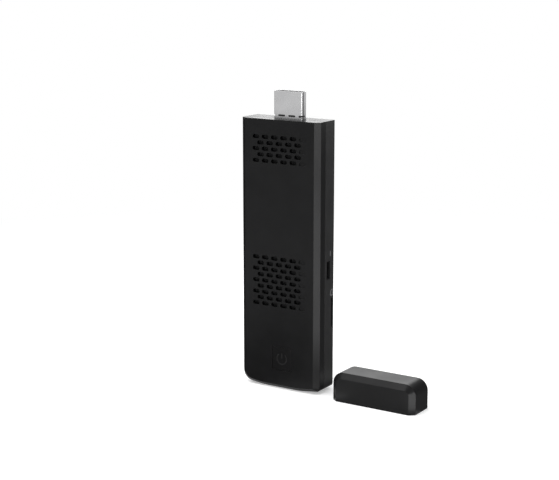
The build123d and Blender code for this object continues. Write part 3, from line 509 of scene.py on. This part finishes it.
@dataclass(frozen=True)
class PlasticFinish:
    """Moulded plastic with a fine grain, a little wear on its edges and a little dust.

    Attributes:
        name: The material's name.
        base: The main colour.
        drift: The colour that it drifts towards.
        rough_low: Roughness where the polish is best.
        rough_high: Roughness where it is worst.
        specular: Specular level.
        grain_scale: Grain cells per metre.
        grain_depth: Height of the grain in metres.
        wear: Share of the edges that show wear.
        wear_colour: Colour of a worn edge.
        dust: Share of dust on what faces up.
        edge_radius: How far sharp edges are rounded, in metres.
        MOTTLE_SCALE, SMUDGE_SCALE: Patches of the colour's and the roughness's drift per metre.
        WEAR_REACH: How far wear reaches, in edge radii.
        WEAR_ROUGHNESS: What full wear adds to the roughness.
        DUST_COLOUR: Colour of dust.
        GRAIN_STRENGTH: Strength of the grain's bump.
    """

    MOTTLE_SCALE, SMUDGE_SCALE = 120.0, 60.0
    WEAR_REACH = 1.6
    WEAR_ROUGHNESS = 0.35
    DUST_COLOUR = (0.35, 0.34, 0.32)
    GRAIN_STRENGTH = 0.6

    name: str
    base: Colour
    drift: Colour
    rough_low: float
    rough_high: float
    specular: float = 0.5
    grain_scale: float = 5200.0
    grain_depth: float = 4e-6
    wear: float = 0.25
    wear_colour: Colour = (0.09, 0.09, 0.09)
    dust: float = 0.12
    edge_radius: float = 0.00012

    def build(self, shop: EffectShop) -> bpy.types.Material:
        """Returns the finished material."""
        bench = MaterialBench(self.name, shop)
        colour = bench.drifting(self.MOTTLE_SCALE, self.base, self.drift)
        reach = self.edge_radius * self.WEAR_REACH
        worn = bench.effect(Effect.WEAR, Radius=reach, Amount=self.wear)
        dusty = bench.effect(Effect.DUST, Amount=self.dust)
        paint = bench.blend(worn.outputs["Mask"], colour, self.wear_colour)
        paint = bench.blend(dusty.outputs["Mask"], paint, self.DUST_COLOUR)
        bench.join(paint, bench.shader.inputs["Base Color"])
        rough = bench.handled(self.SMUDGE_SCALE, self.rough_low, self.rough_high)
        rougher = bench.product(worn.outputs["Mask"], self.WEAR_ROUGHNESS)
        bench.join(bench.math("ADD", rough, rougher), bench.shader.inputs["Roughness"])
        bench.shader.inputs["Specular IOR Level"].default_value = self.specular
        height = bench.effect(Effect.GRAIN, Scale=self.grain_scale).outputs["Height"]
        bench.relief(height, self.grain_depth, self.GRAIN_STRENGTH, self.edge_radius)
        return bench.material


@dataclass(frozen=True)
class SymbolFinish(PlasticFinish):
    """Plastic of the power key, with grey paint in its cut symbol.

    Attributes:
        floor_y_mm: Depth past which the symbol's floor is painted.
        centre_mm: Middle of the symbol across the front, as X and Z.
        reach_mm: Half the size of the painted field.
        fade_mm: Half the depth over which the paint sets in.
        paint: Colour in the symbol.
    """

    floor_y_mm: float = -6.5
    centre_mm: Pair = (1.4, 13.5)
    reach_mm: float = 3.2
    fade_mm: float = 0.02
    paint: Colour = (0.022, 0.022, 0.023)

    def build(self, shop: EffectShop) -> bpy.types.Material:
        """Returns the finished material, with the paint over the plastic's colour."""
        material = super().build(shop)
        bench = PaintBench(material)
        start, full = ((self.floor_y_mm + side * self.fade_mm) * MM for side in (-1.0, 1.0))
        deep = bench.ramp(bench.place["Y"], start, full)
        reach = self.reach_mm * MM
        field = [bench.band(axis, centre * MM, reach) for axis, centre in zip("XZ", self.centre_mm)]
        bench.paint(bench.product(deep, *field), self.paint)
        return material


@dataclass(frozen=True)
class MetalFinish:
    """Rolled, pressed or plated metal with drawn lines.

    Attributes:
        name: The material's name.
        base: The main colour.
        drift: The colour that it drifts towards.
        rough_low: Lowest roughness.
        rough_high: Highest roughness.
        stretch: How the lines are drawn out along each axis.
        line_scale: Lines per metre.
        line_depth: Height of the lines in metres.
        wear: Share of the edges that are rubbed bright.
        edge_radius: How far sharp edges are rounded, in metres.
        MOTTLE_SCALE, SMUDGE_SCALE: Patches of the colour's and the roughness's drift per metre.
        WEAR_REACH: How far wear reaches, in edge radii.
        RUBBED_GAIN: How much brighter a rubbed edge is.
        MIDDLE: Middle value of the lines' variation.
        STREAK_SHARE: What the lines' variation adds to the roughness.
        LINE_STRENGTH: Strength of the lines' bump.
    """

    MOTTLE_SCALE, SMUDGE_SCALE = 260.0, 180.0
    WEAR_REACH = 2.0
    RUBBED_GAIN = 1.15
    MIDDLE = 0.5
    STREAK_SHARE = 0.12
    LINE_STRENGTH = 0.5

    name: str
    base: Colour
    drift: Colour
    rough_low: float
    rough_high: float
    stretch: tuple[float, float, float] = (1.0, 1.0, 0.04)
    line_scale: float = 9000.0
    line_depth: float = 0.6e-6
    wear: float = 0.3
    edge_radius: float = 0.00006

    def build(self, shop: EffectShop) -> bpy.types.Material:
        """Returns the finished material."""
        bench = MaterialBench(self.name, shop)
        paint = bench.drifting(self.MOTTLE_SCALE, self.base, self.drift)
        if self.wear:
            reach = self.edge_radius * self.WEAR_REACH
            worn = bench.effect(Effect.WEAR, Radius=reach, Amount=self.wear)
            bright = tuple(min(1.0, value * self.RUBBED_GAIN) for value in self.base)
            paint = bench.blend(worn.outputs["Mask"], paint, bright)
        bench.join(paint, bench.shader.inputs["Base Color"])
        bench.shader.inputs["Metallic"].default_value = 1.0
        lines = bench.effect(Effect.BRUSHED, Stretch=self.stretch, Scale=self.line_scale)
        rough = bench.handled(self.SMUDGE_SCALE, self.rough_low, self.rough_high)
        swing = bench.math("SUBTRACT", lines.outputs["Variation"], self.MIDDLE)
        streak = bench.product(swing, self.STREAK_SHARE)
        bench.join(bench.math("ADD", rough, streak), bench.shader.inputs["Roughness"])
        bench.relief(lines.outputs["Height"], self.line_depth, self.LINE_STRENGTH, self.edge_radius)
        return bench.material


@dataclass(frozen=True)
class PaintedSeamShadeFinish(MetalFinish):
    """Folded sheet of the display plug, with painted shade darkening the floor of the seam in each
    side.

    Attributes:
        centre_x_mm: Middle of the plug.
        floor_mm: Distance from there past which the sheet's surface lies and stays bright.
        depth_mm: How far in the seam's floor reaches.
        seam_y_mm: Middle of the seam.
        half_width_mm: Half the seam's width.
        shade: Painted shade laid on the seam's floor, a dark colour that stands in for the shadow in
            the groove.
    """

    centre_x_mm: float = 1.2
    floor_mm: float = 6.92
    depth_mm: float = 0.24
    seam_y_mm: float = -0.45
    half_width_mm: float = 0.27
    shade: Colour = (0.05, 0.05, 0.052)

    def build(self, shop: EffectShop) -> bpy.types.Material:
        """Returns the finished material, with painted shade laid in the seams over the sheet's
        colour.
        """
        material = super().build(shop)
        bench = PaintBench(material)
        # Painted shade: the seam's floor is darkened to stand in for the shadow inside the groove.
        within = bench.band("X", self.centre_x_mm * MM, self.floor_mm * MM)
        out = bench.distance(bench.place["X"], self.centre_x_mm * MM)
        past = bench.math("GREATER_THAN", out, (self.floor_mm - self.depth_mm) * MM)
        seam = bench.band("Y", self.seam_y_mm * MM, self.half_width_mm * MM)
        bench.paint(bench.product(within, past, seam), self.shade)
        return material


@dataclass(frozen=True)
class ScreenFinish:
    """Fine woven screen behind the air slots, coloured very dark as painted shade for the inside of
    the slots, darkest in the gaps between its threads.

    Attributes:
        name: The material's name.
        thread: Colour of the threads, darkened as painted shade for the inside of the slots.
        hole_painted_shade: Painted shade between the threads, darker still, standing in for the dark
            inside seen through the mesh's gaps.
        threads_per_metre: How close the threads lie.
        thread_depth: Height of a thread in metres.
        thread_strength: Strength of the threads' bump.
        specular: Specular level.
        smudge_scale: Patches of the roughness's drift per metre.
        rough_low: Lowest roughness.
        rough_high: Highest roughness.
    """

    name: str = "Woven slot screen"
    thread: Colour = (0.026, 0.026, 0.027)
    hole_painted_shade: Colour = (0.009, 0.009, 0.0093)
    threads_per_metre: float = 1600.0
    thread_depth: float = 4e-5
    thread_strength: float = 0.7
    specular: float = 0.06
    smudge_scale: float = 300.0
    rough_low: float = 0.5
    rough_high: float = 0.7

    def build(self, shop: EffectShop) -> bpy.types.Material:
        """Returns the finished material."""
        bench = MaterialBench(self.name, shop)
        weave = bench.effect(Effect.WOVEN, Threads_per_metre=self.threads_per_metre)
        # Painted shade: the threads are set very dark and the gaps between them darker still,
        # standing in for the shadow inside the slots.
        colour = bench.blend(weave.outputs["Mask"], self.hole_painted_shade, self.thread)
        bench.join(colour, bench.shader.inputs["Base Color"])
        rough = bench.handled(self.smudge_scale, self.rough_low, self.rough_high)
        bench.join(rough, bench.shader.inputs["Roughness"])
        bench.shader.inputs["Specular IOR Level"].default_value = self.specular
        bench.relief(weave.outputs["Height"], self.thread_depth, self.thread_strength, 0.0)
        return bench.material


@dataclass(frozen=True)
class BoardFinish:
    """Lacquered circuit board with traces under the lacquer.

    Attributes:
        name: The material's name.
        lacquer: Colour over bare board.
        trace: Colour over a copper trace.
        trace_scale: Trace cells per metre.
        trace_span: Distance from a cell's edge between a trace and bare board.
        trace_depth: Height of a trace in metres.
        trace_strength: Strength of the traces' bump.
        smudge_scale: Patches of the roughness's drift per metre.
        rough_low: Lowest roughness.
        rough_high: Highest roughness.
        edge_radius: How far sharp edges are rounded, in metres.
    """

    name: str = "Lacquered board"
    lacquer: Colour = (0.012, 0.085, 0.04)
    trace: Colour = (0.03, 0.17, 0.08)
    trace_scale: float = 420.0
    trace_span: Pair = (0.05, 0.1)
    trace_depth: float = 2.5e-5
    trace_strength: float = 0.6
    smudge_scale: float = 90.0
    rough_low: float = 0.22
    rough_high: float = 0.36
    edge_radius: float = 0.0001

    def build(self, shop: EffectShop) -> bpy.types.Material:
        """Returns the finished material."""
        bench = MaterialBench(self.name, shop)
        runs = bench.add("ShaderNodeTexVoronoi", feature="DISTANCE_TO_EDGE", distance="MANHATTAN")
        bench.join(bench.place, runs.inputs["Vector"])
        runs.inputs["Scale"].default_value = self.trace_scale
        bare = bench.ramp(runs.outputs["Distance"], *self.trace_span)
        bench.join(bench.blend(bare, self.trace, self.lacquer), bench.shader.inputs["Base Color"])
        rough = bench.handled(self.smudge_scale, self.rough_low, self.rough_high)
        bench.join(rough, bench.shader.inputs["Roughness"])
        raised = bench.math("SUBTRACT", 1.0, bare)
        bench.relief(raised, self.trace_depth, self.trace_strength, self.edge_radius)
        return bench.material


Finish = PlasticFinish | MetalFinish | ScreenFinish | BoardFinish


class Finishes:
    """All finishes of the stick, and which piece takes which."""

    CASING = PlasticFinish(
        "Casing black", (0.0034, 0.0034, 0.0037), (0.0048, 0.0048, 0.0052), 0.30, 0.37,
        specular=0.14, grain_depth=1.5e-6, wear=0.10, dust=0.02, edge_radius=0.00014,
    )
    REAR = PlasticFinish(
        "Rear shell black", (0.014, 0.014, 0.0145), (0.018, 0.018, 0.0185), 0.34, 0.42,
        specular=0.22, grain_scale=4200.0, grain_depth=5e-6, wear=0.12, dust=0.05,
    )
    KEY = SymbolFinish(
        "Power key black", (0.0032, 0.0032, 0.0035), (0.0044, 0.0044, 0.0047), 0.32, 0.40,
        specular=0.13, grain_depth=1.5e-6, wear=0.12, dust=0.02, edge_radius=0.0001,
    )
    SOFT_BLACK = PlasticFinish(
        "Soft matte black", (0.020, 0.020, 0.021), (0.028, 0.028, 0.029), 0.5, 0.62,
        specular=0.35, grain_depth=9e-6,
    )
    MOULDED = PlasticFinish(
        "Connector black", (0.016, 0.016, 0.016), (0.022, 0.022, 0.022), 0.42, 0.55,
        specular=0.4, grain_scale=9000.0, grain_depth=3e-6, edge_radius=0.00004,
    )
    PACKAGE = PlasticFinish(
        "Chip package", (0.028, 0.028, 0.031), (0.04, 0.04, 0.043), 0.45, 0.6,
        grain_scale=12000.0, grain_depth=3e-6, edge_radius=0.00004,
    )
    CERAMIC = PlasticFinish(
        "Fired ceramic", (0.42, 0.33, 0.24), (0.55, 0.45, 0.34), 0.45, 0.6,
        grain_scale=15000.0, grain_depth=2e-6, wear=0.3, wear_colour=(0.7, 0.68, 0.62),
        edge_radius=0.00005,
    )
    PAD = PlasticFinish(
        "Soft grey pad", (0.28, 0.30, 0.33), (0.36, 0.38, 0.41), 0.7, 0.85,
        grain_scale=7000.0, grain_depth=1e-5, wear=0.1, wear_colour=(0.45, 0.46, 0.48),
    )
    FILM = PlasticFinish(
        "Ribbon film", (0.36, 0.17, 0.04), (0.46, 0.24, 0.07), 0.25, 0.35,
        grain_scale=3000.0, grain_depth=2e-6, wear=0.2, wear_colour=(0.55, 0.35, 0.15),
        edge_radius=0.00003,
    )
    PRINT = PlasticFinish(
        "Side print", (0.13, 0.13, 0.135), (0.16, 0.16, 0.165), 0.5, 0.65,
        grain_scale=14000.0, grain_depth=1e-6, wear=0.3, wear_colour=(0.08, 0.08, 0.083),
        edge_radius=0.00001,
    )
    # The plug's sheet carries painted shade on the floor of its side seams.
    PLUG = PaintedSeamShadeFinish(
        "Plug sheet", (0.47, 0.47, 0.475), (0.51, 0.51, 0.515), 0.26, 0.30,
        line_depth=0.3e-6, wear=0.0, edge_radius=0.0,
    )
    SHEET = MetalFinish("Socket sheet", (0.50, 0.50, 0.51), (0.57, 0.57, 0.58), 0.26, 0.34)
    PORT = MetalFinish("Port sheet", (0.02, 0.02, 0.021), (0.03, 0.03, 0.031), 0.46, 0.56, wear=0.2)
    CAN = MetalFinish(
        "Pressed can", (0.60, 0.60, 0.60), (0.68, 0.68, 0.68), 0.3, 0.42, stretch=(0.05, 1.0, 1.0)
    )
    SCREW = MetalFinish(
        "Turned screw", (0.42, 0.42, 0.43), (0.52, 0.52, 0.53), 0.28, 0.4, stretch=(1.0, 1.0, 1.0)
    )
    GOLD = MetalFinish(
        "Plated contact", (0.80, 0.58, 0.24), (0.88, 0.68, 0.33), 0.2, 0.3, stretch=(1.0, 1.0, 0.2)
    )
    COPPER = MetalFinish(
        "Coil wire", (0.62, 0.27, 0.12), (0.72, 0.36, 0.18), 0.3, 0.45, stretch=(1.0, 0.08, 1.0)
    )
    CAST = MetalFinish(
        "Cast spreader", (0.58, 0.58, 0.60), (0.68, 0.68, 0.70), 0.42, 0.55,
        stretch=(1.0, 1.0, 1.0), line_scale=4000.0, line_depth=6e-6, edge_radius=0.0001,
    )
    SCREEN = ScreenFinish()
    BOARD = BoardFinish()

    WHERE: dict[Finish, tuple[str, ...]] = {
        CASING: ("front_cover", "plug_cap"),
        REAR: ("rear_shell",),
        KEY: ("power_button",),
        SOFT_BLACK: ("cap_grip", "fan_housing", "fan_rotor"),
        MOULDED: (
            "plug_core", "inlet_tongue", "socket_tongue", "card_base",
            "fan_connector", "switch_body", "switch_plunger",
        ),
        PACKAGE: ("processor", "memory_chips", "storage_chip", "power_controller", "inductors"),
        CERAMIC: ("antenna", "capacitors"),
        PAD: ("thermal_pad",),
        FILM: ("fan_ribbon",),
        PLUG: ("plug_shell",),
        SHEET: ("socket_shell",),
        PORT: ("inlet_shell",),
        CAN: ("card_cover", "clock_crystal", "fan_lid", "wireless_module"),
        SCREW: ("board_screws", "spreader_screws", "fan_shaft"),
        GOLD: (
            "plug_contacts", "inlet_contacts", "card_contacts", "socket_contacts", "fan_bearing",
        ),
        COPPER: ("fan_coil",),
        CAST: ("heat_spreader",),
        SCREEN: ("slot_screens",),
        BOARD: ("main_board",),
    }

    def __init__(self, shop: EffectShop) -> None:
        """Keeps the shop that the finishes draw on.

        Args:
            shop: Where the shared effects are kept.
        """
        self.shop = shop
        self.print = self.PRINT.build(shop)

    def dress(self, nodes: dict[str, bpy.types.Object]) -> None:
        """Gives every CAD node its finish.

        Args:
            nodes: The frame's nodes by name.
        """
        left = set(nodes)
        for finish, names in self.WHERE.items():
            material = finish.build(self.shop)
            for name in names:
                node = nodes[name]
                node.data.materials.clear()
                node.data.materials.append(material)
                left.discard(name)
                LOG.info("%s takes the finish %s", name, material.name)
        if left:
            raise ValueError(f"nodes without a finish: {sorted(left)}")


@dataclass
class SideMarks:
    """Printed marks on the right side: a tick over the inlet and a card outline over the card slot.

    Attributes:
        side_x_mm: Where the rear shell's right face is.
        film_mm: Thickness of the print.
        tick_centre_mm: Middle of the tick, as Y and Z.
        tick_size_mm: The tick's width and height.
        tick_flat_mm: Half the flat left at the tick's rounded ends.
        tick_corner_steps: Steps round each corner of the tick.
        card_centre_mm: Middle of the card outline, as Y and Z.
        card_size_mm: The outline's width and height.
        card_line_mm: Width of the outline's stroke.
        card_cut_mm: Size of the outline's cut corner.
        pieces: The finished pieces.
    """

    side_x_mm: float = 19.4
    film_mm: float = 0.03
    tick_centre_mm: Pair = (3.45, 60.2)
    tick_size_mm: Pair = (0.45, 2.3)
    tick_flat_mm: float = 0.02
    tick_corner_steps: int = 5
    card_centre_mm: Pair = (4.8, 43.1)
    card_size_mm: Pair = (2.2, 2.8)
    card_line_mm: float = 0.4
    card_cut_mm: float = 0.8
    pieces: list[bpy.types.Object] = field(default_factory=list)

    def plate(self, name: str, centre: Pair, size: Pair) -> bpy.types.Object:
        """Adds a flat rectangle that lies on the right side.

        Args:
            name: The piece's name.
            centre: Its middle, as Y and Z in millimetres.
            size: Its width and height in millimetres.

        Returns:
            The rectangle, with its place in its mesh.
        """
        deselect()
        bpy.ops.mesh.primitive_plane_add(
            size=1.0,
            location=millimetres(self.side_x_mm, *centre),
            rotation=(math.pi / 2, 0.0, math.pi / 2),
        )
        piece = bpy.context.active_object
        piece.name = name
        piece.data.name = name
        piece.scale = (size[0] * MM, size[1] * MM, 1.0)
        settle(piece)
        return piece

    def thicken(self, piece: bpy.types.Object) -> None:
        """Gives a flat piece the print's thickness and closes it."""
        pick(piece)
        bpy.ops.object.mode_set(mode="EDIT")
        bpy.ops.mesh.select_all(action="SELECT")
        bpy.ops.mesh.normals_make_consistent(inside=False)
        film = millimetres(self.film_mm, 0.0, 0.0)
        bpy.ops.mesh.extrude_region_move(TRANSFORM_OT_translate={"value": film})
        bpy.ops.mesh.select_all(action="SELECT")
        bpy.ops.mesh.normals_make_consistent(inside=False)
        bpy.ops.object.mode_set(mode="OBJECT")

    def round_corners(self, piece: bpy.types.Object, radius_mm: float, segments: int) -> None:
        """Rounds the corners of a flat piece.

        Args:
            piece: The flat piece.
            radius_mm: The corner's radius in millimetres.
            segments: Steps round each corner.
        """
        pick(piece)
        bpy.ops.object.mode_set(mode="EDIT")
        bpy.ops.mesh.select_all(action="SELECT")
        bpy.ops.mesh.bevel(offset=radius_mm * MM, segments=segments, affect="VERTICES")
        bpy.ops.object.mode_set(mode="OBJECT")

    def tick(self) -> bpy.types.Object:
        """Returns the tick over the inlet."""
        piece = self.plate("inlet_tick", self.tick_centre_mm, self.tick_size_mm)
        radius_mm = self.tick_size_mm[0] / 2 - self.tick_flat_mm
        self.round_corners(piece, radius_mm, self.tick_corner_steps)
        self.thicken(piece)
        return piece

    def card(self) -> bpy.types.Object:
        """Returns the card outline: a rectangle with one cut corner and its middle taken out."""
        piece = self.plate("card_outline", self.card_centre_mm, self.card_size_mm)
        bpy.ops.object.mode_set(mode="EDIT")
        bpy.ops.mesh.select_all(action="DESELECT")
        bpy.ops.object.mode_set(mode="OBJECT")
        corner = max(piece.data.vertices, key=lambda vertex: vertex.co.z - vertex.co.y)
        corner.select = True
        bpy.ops.object.mode_set(mode="EDIT")
        bpy.ops.mesh.select_mode(type="VERT")
        bpy.ops.mesh.bevel(offset=self.card_cut_mm * MM, segments=1, affect="VERTICES")
        bpy.ops.mesh.select_mode(type="FACE")
        bpy.ops.mesh.select_all(action="SELECT")
        bpy.ops.mesh.inset(thickness=self.card_line_mm * MM)
        bpy.ops.mesh.delete(type="FACE")
        bpy.ops.object.mode_set(mode="OBJECT")
        self.thicken(piece)
        return piece

    def build(self, print_material: bpy.types.Material) -> None:
        """Builds both marks and lets them ride on the stick.

        Args:
            print_material: The print's material.
        """
        for piece in (self.tick(), self.card()):
            piece.data.materials.clear()
            piece.data.materials.append(print_material)
            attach(piece, "stick")
            self.pieces.append(piece)
            LOG.info("%s built with %d faces", piece.name, len(piece.data.polygons))


@dataclass(frozen=True)
class Softbox:
    """One area lamp.

    Attributes:
        name: The lamp's name.
        place: Its place in metres.
        aim: The point that it faces.
        size: Its width and height in metres.
        power: Its power in watts.
        in_gloss: Whether glossy surfaces show it.
    """

    name: str
    place: tuple[float, float, float]
    aim: tuple[float, float, float]
    size: Pair
    power: float
    in_gloss: bool = True

    def build(self) -> bpy.types.Object:
        """Returns the lamp, aimed."""
        lamp = bpy.data.lights.new(self.name, "AREA")
        lamp.shape = "RECTANGLE"
        lamp.size, lamp.size_y = self.size
        lamp.energy = self.power
        holder = bpy.data.objects.new(self.name, lamp)
        bpy.context.collection.objects.link(holder)
        holder.location = self.place
        away = Vector(self.place) - Vector(self.aim)
        holder.rotation_euler = away.to_track_quat("Z", "Y").to_euler()
        holder.visible_glossy = self.in_gloss
        holder.visible_camera = False
        return holder


@dataclass(frozen=True)
class GlossCard:
    """A card that lies or stands on the floor, or stands over it, and shows in gloss alone.

    Attributes:
        name: The card's name.
        start: Middle of its near edge, in metres, or of its foot where it stands.
        heading_degrees: Which way it runs or faces away from the object, about the upright.
        length: How far it runs, or how high it stands, in metres.
        width: Its width in metres.
        level: How bright it is, where 1 is white.
        stands: Whether it stands up.
        lift: Its height over the floor, in metres.
    """

    name: str
    start: Pair
    heading_degrees: float
    length: float
    width: float
    level: float
    stands: bool = False
    lift: float = 0.0002

    def build(self) -> bpy.types.Object:
        """Returns the card, laid down or stood up."""
        turn = math.radians(self.heading_degrees)
        half = Vector((math.cos(turn), math.sin(turn), 0.0)) * self.length / 2
        if self.stands:
            half = Vector((0.0, 0.0, self.length / 2))
        deselect()
        bpy.ops.mesh.primitive_plane_add(
            size=1.0,
            location=Vector((*self.start, self.lift)) + half,
            rotation=(0.0, -math.pi / 2 if self.stands else 0.0, turn),
        )
        card = bpy.context.active_object
        card.name = self.name
        card.scale = (self.length, self.width, 1.0)
        settle(card)
        material = blank_material(self.name)
        bench = NodeBench(material.node_tree)
        bench.join(bench.glow(self.level), bench.add("ShaderNodeOutputMaterial").inputs["Surface"])
        card.data.materials.append(material)
        card.visible_camera = False
        card.visible_diffuse = False
        card.visible_transmission = False
        card.visible_shadow = False
        return card


@dataclass
class Studio:
    """Plain pale floor, soft lamps, white surroundings and the camera.

    Attributes:
        floor_half: Half the floor's width in metres.
        floor_drop: How far the floor lies under the object's foot, in metres.
        floor_colour: Colour of the floor.
        floor_lift: Emission that takes the lit floor to white where it is seen.
        far_span: Distance from the object, in metres, over which the floor turns plain white.
        room_level: Level of the surroundings on matt surfaces.
        eye_mm: The camera's place.
        yaw_degrees: How far the camera stands to the right of the front.
        pitch_degrees: How far it looks down.
        lens_mm: Its focal length.
        sensor_mm: Width of its sensor.
        clip: Nearest and farthest distance that it shows, in metres.
        lamps: The softboxes.
        cards: The cards that gloss shows.
    """

    floor_half: float = 9.0
    floor_drop: float = 2e-5
    floor_colour: Colour = (0.86, 0.86, 0.86)
    floor_lift: float = 0.35
    far_span: Pair = (0.18, 0.42)
    room_level: float = 0.55
    eye_mm: tuple[float, float, float] = (311.163, -493.168, 186.32)
    yaw_degrees: float = 32.572
    pitch_degrees: float = 11.803
    lens_mm: float = 89.785
    sensor_mm: float = 36.0
    clip: Pair = (0.01, 50.0)
    lamps: tuple[Softbox, ...] = (
        Softbox("Overhead softbox", (-0.25, -0.15, 0.95), (0.02, 0.0, 0.05), (0.9, 0.9), 9.0),
        Softbox("Right softbox", (0.62, -0.50, 0.07), (0.02, 0.0, 0.06), (0.16, 0.30), 1.6),
        Softbox("Back softbox", (-0.54, 0.84, 0.46), (0.0, 0.0, 0.10), (1.3, 0.36), 2.35),
    )
    cards: tuple[GlossCard, ...] = (
        GlossCard("right_dark_card", (0.046, 0.012), 57.4, 0.12, 0.15, 0.26),
        GlossCard("right_standing_card", (0.112, 0.113), 57.4, 0.10, 0.22, 0.26, stands=True),
        GlossCard("left_dark_card", (-0.021, 0.004), 158.0, 0.15, 0.10, 0.03),
        GlossCard("left_standing_card", (-0.160, 0.060), 158.0, 0.15, 0.20, 0.03, stands=True),
        GlossCard("bevel_white_card", (0.085, -0.048), -43.5, 0.55, 0.13, 6.4),
        GlossCard("bevel_near_card", (0.0205, -0.0078), -43.5, 0.013, 0.006, 3.2),
        GlossCard("front_dark_card", (-0.007, -0.011), -122.6, 0.15, 0.046, 0.45),
        GlossCard("plug_dark_card", (0.300, 0.070), 12.0, 0.22, 0.09, 0.05, stands=True),
        GlossCard("cap_white_card", (0.069, -0.012), -43.5, 0.05, 0.04, 6.4),
        GlossCard("gap_dark_card", (0.0232, -0.0085), 90.0, 0.032, 0.0068, 0.08),
        GlossCard(
            "top_white_card", (-0.108, 0.168), 122.6, 0.035, 0.16, 4.0, stands=True, lift=0.142
        ),
    )

    def floor(self) -> bpy.types.Object:
        """Returns the floor, white where it is seen except where the object shades it."""
        deselect()
        place = (0.0, 0.0, -self.floor_drop)
        bpy.ops.mesh.primitive_plane_add(size=2.0 * self.floor_half, location=place)
        floor = bpy.context.active_object
        floor.name = "floor"
        material = blank_material("Pale floor")
        bench = NodeBench(material.node_tree)
        matt = bench.add("ShaderNodeBsdfDiffuse")
        matt.inputs["Color"].default_value = (*self.floor_colour, 1.0)
        seen = bench.seen()
        near = bench.add("ShaderNodeAddShader")
        bench.join(matt.outputs[0], near.inputs[0])
        bench.join(bench.glow(bench.product(seen, self.floor_lift)), near.inputs[1])
        reach = bench.add("ShaderNodeVectorMath", operation="LENGTH")
        bench.join(bench.add("ShaderNodeTexCoord").outputs["Object"], reach.inputs[0])
        far = bench.ramp(reach.outputs["Value"], *self.far_span)
        mixed = bench.add("ShaderNodeMixShader")
        bench.join(bench.product(far, seen), mixed.inputs["Fac"])
        bench.join(near.outputs[0], mixed.inputs[1])
        bench.join(bench.glow(1.0), mixed.inputs[2])
        bench.join(mixed.outputs[0], bench.add("ShaderNodeOutputMaterial").inputs["Surface"])
        floor.data.materials.append(material)
        return floor

    def surroundings(self) -> None:
        """Makes the room white where it is seen, and milder on matt surfaces."""
        world = bpy.data.worlds.new("Pale room")
        bpy.context.scene.world = world
        world.use_nodes = True
        bench = NodeBench(world.node_tree)
        shade = bench.find("ShaderNodeBackground")
        shade.inputs["Color"].default_value = WHITE
        lifted = bench.product(bench.seen(), 1.0 - self.room_level)
        bench.join(bench.math("ADD", lifted, self.room_level), shade.inputs["Strength"])

    def camera(self) -> bpy.types.Object:
        """Returns the camera, at the photograph's angle and distance."""
        data = bpy.data.cameras.new("Studio camera")
        data.sensor_fit = "HORIZONTAL"
        data.sensor_width = self.sensor_mm
        data.lens = self.lens_mm
        data.clip_start, data.clip_end = self.clip
        camera = bpy.data.objects.new("Studio camera", data)
        bpy.context.collection.objects.link(camera)
        camera.location = millimetres(*self.eye_mm)
        tilt, turn = math.radians(90.0 - self.pitch_degrees), math.radians(self.yaw_degrees)
        camera.rotation_euler = (tilt, 0.0, turn)
        bpy.context.scene.camera = camera
        return camera

    def build(self) -> None:
        """Builds the whole studio."""
        self.floor()
        self.surroundings()
        for piece in (*self.lamps, *self.cards):
            piece.build()
            LOG.info("%s set", piece.name)
        self.camera()
        bpy.context.scene.view_settings.view_transform = "Standard"


def main() -> None:
    """Loads the frame, dresses it and sets up the studio."""
    logging.basicConfig(level=logging.INFO, format="%(name)s: %(message)s")
    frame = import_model()
    shop = EffectShop()
    finishes = Finishes(shop)
    finishes.dress(frame["nodes"])
    marks = SideMarks()
    marks.build(finishes.print)
    Studio().build()
    deselect()
    LOG.info("dressed %d pieces", len(frame["nodes"]) + len(marks.pieces))


if __name__ == "__main__":
    main()
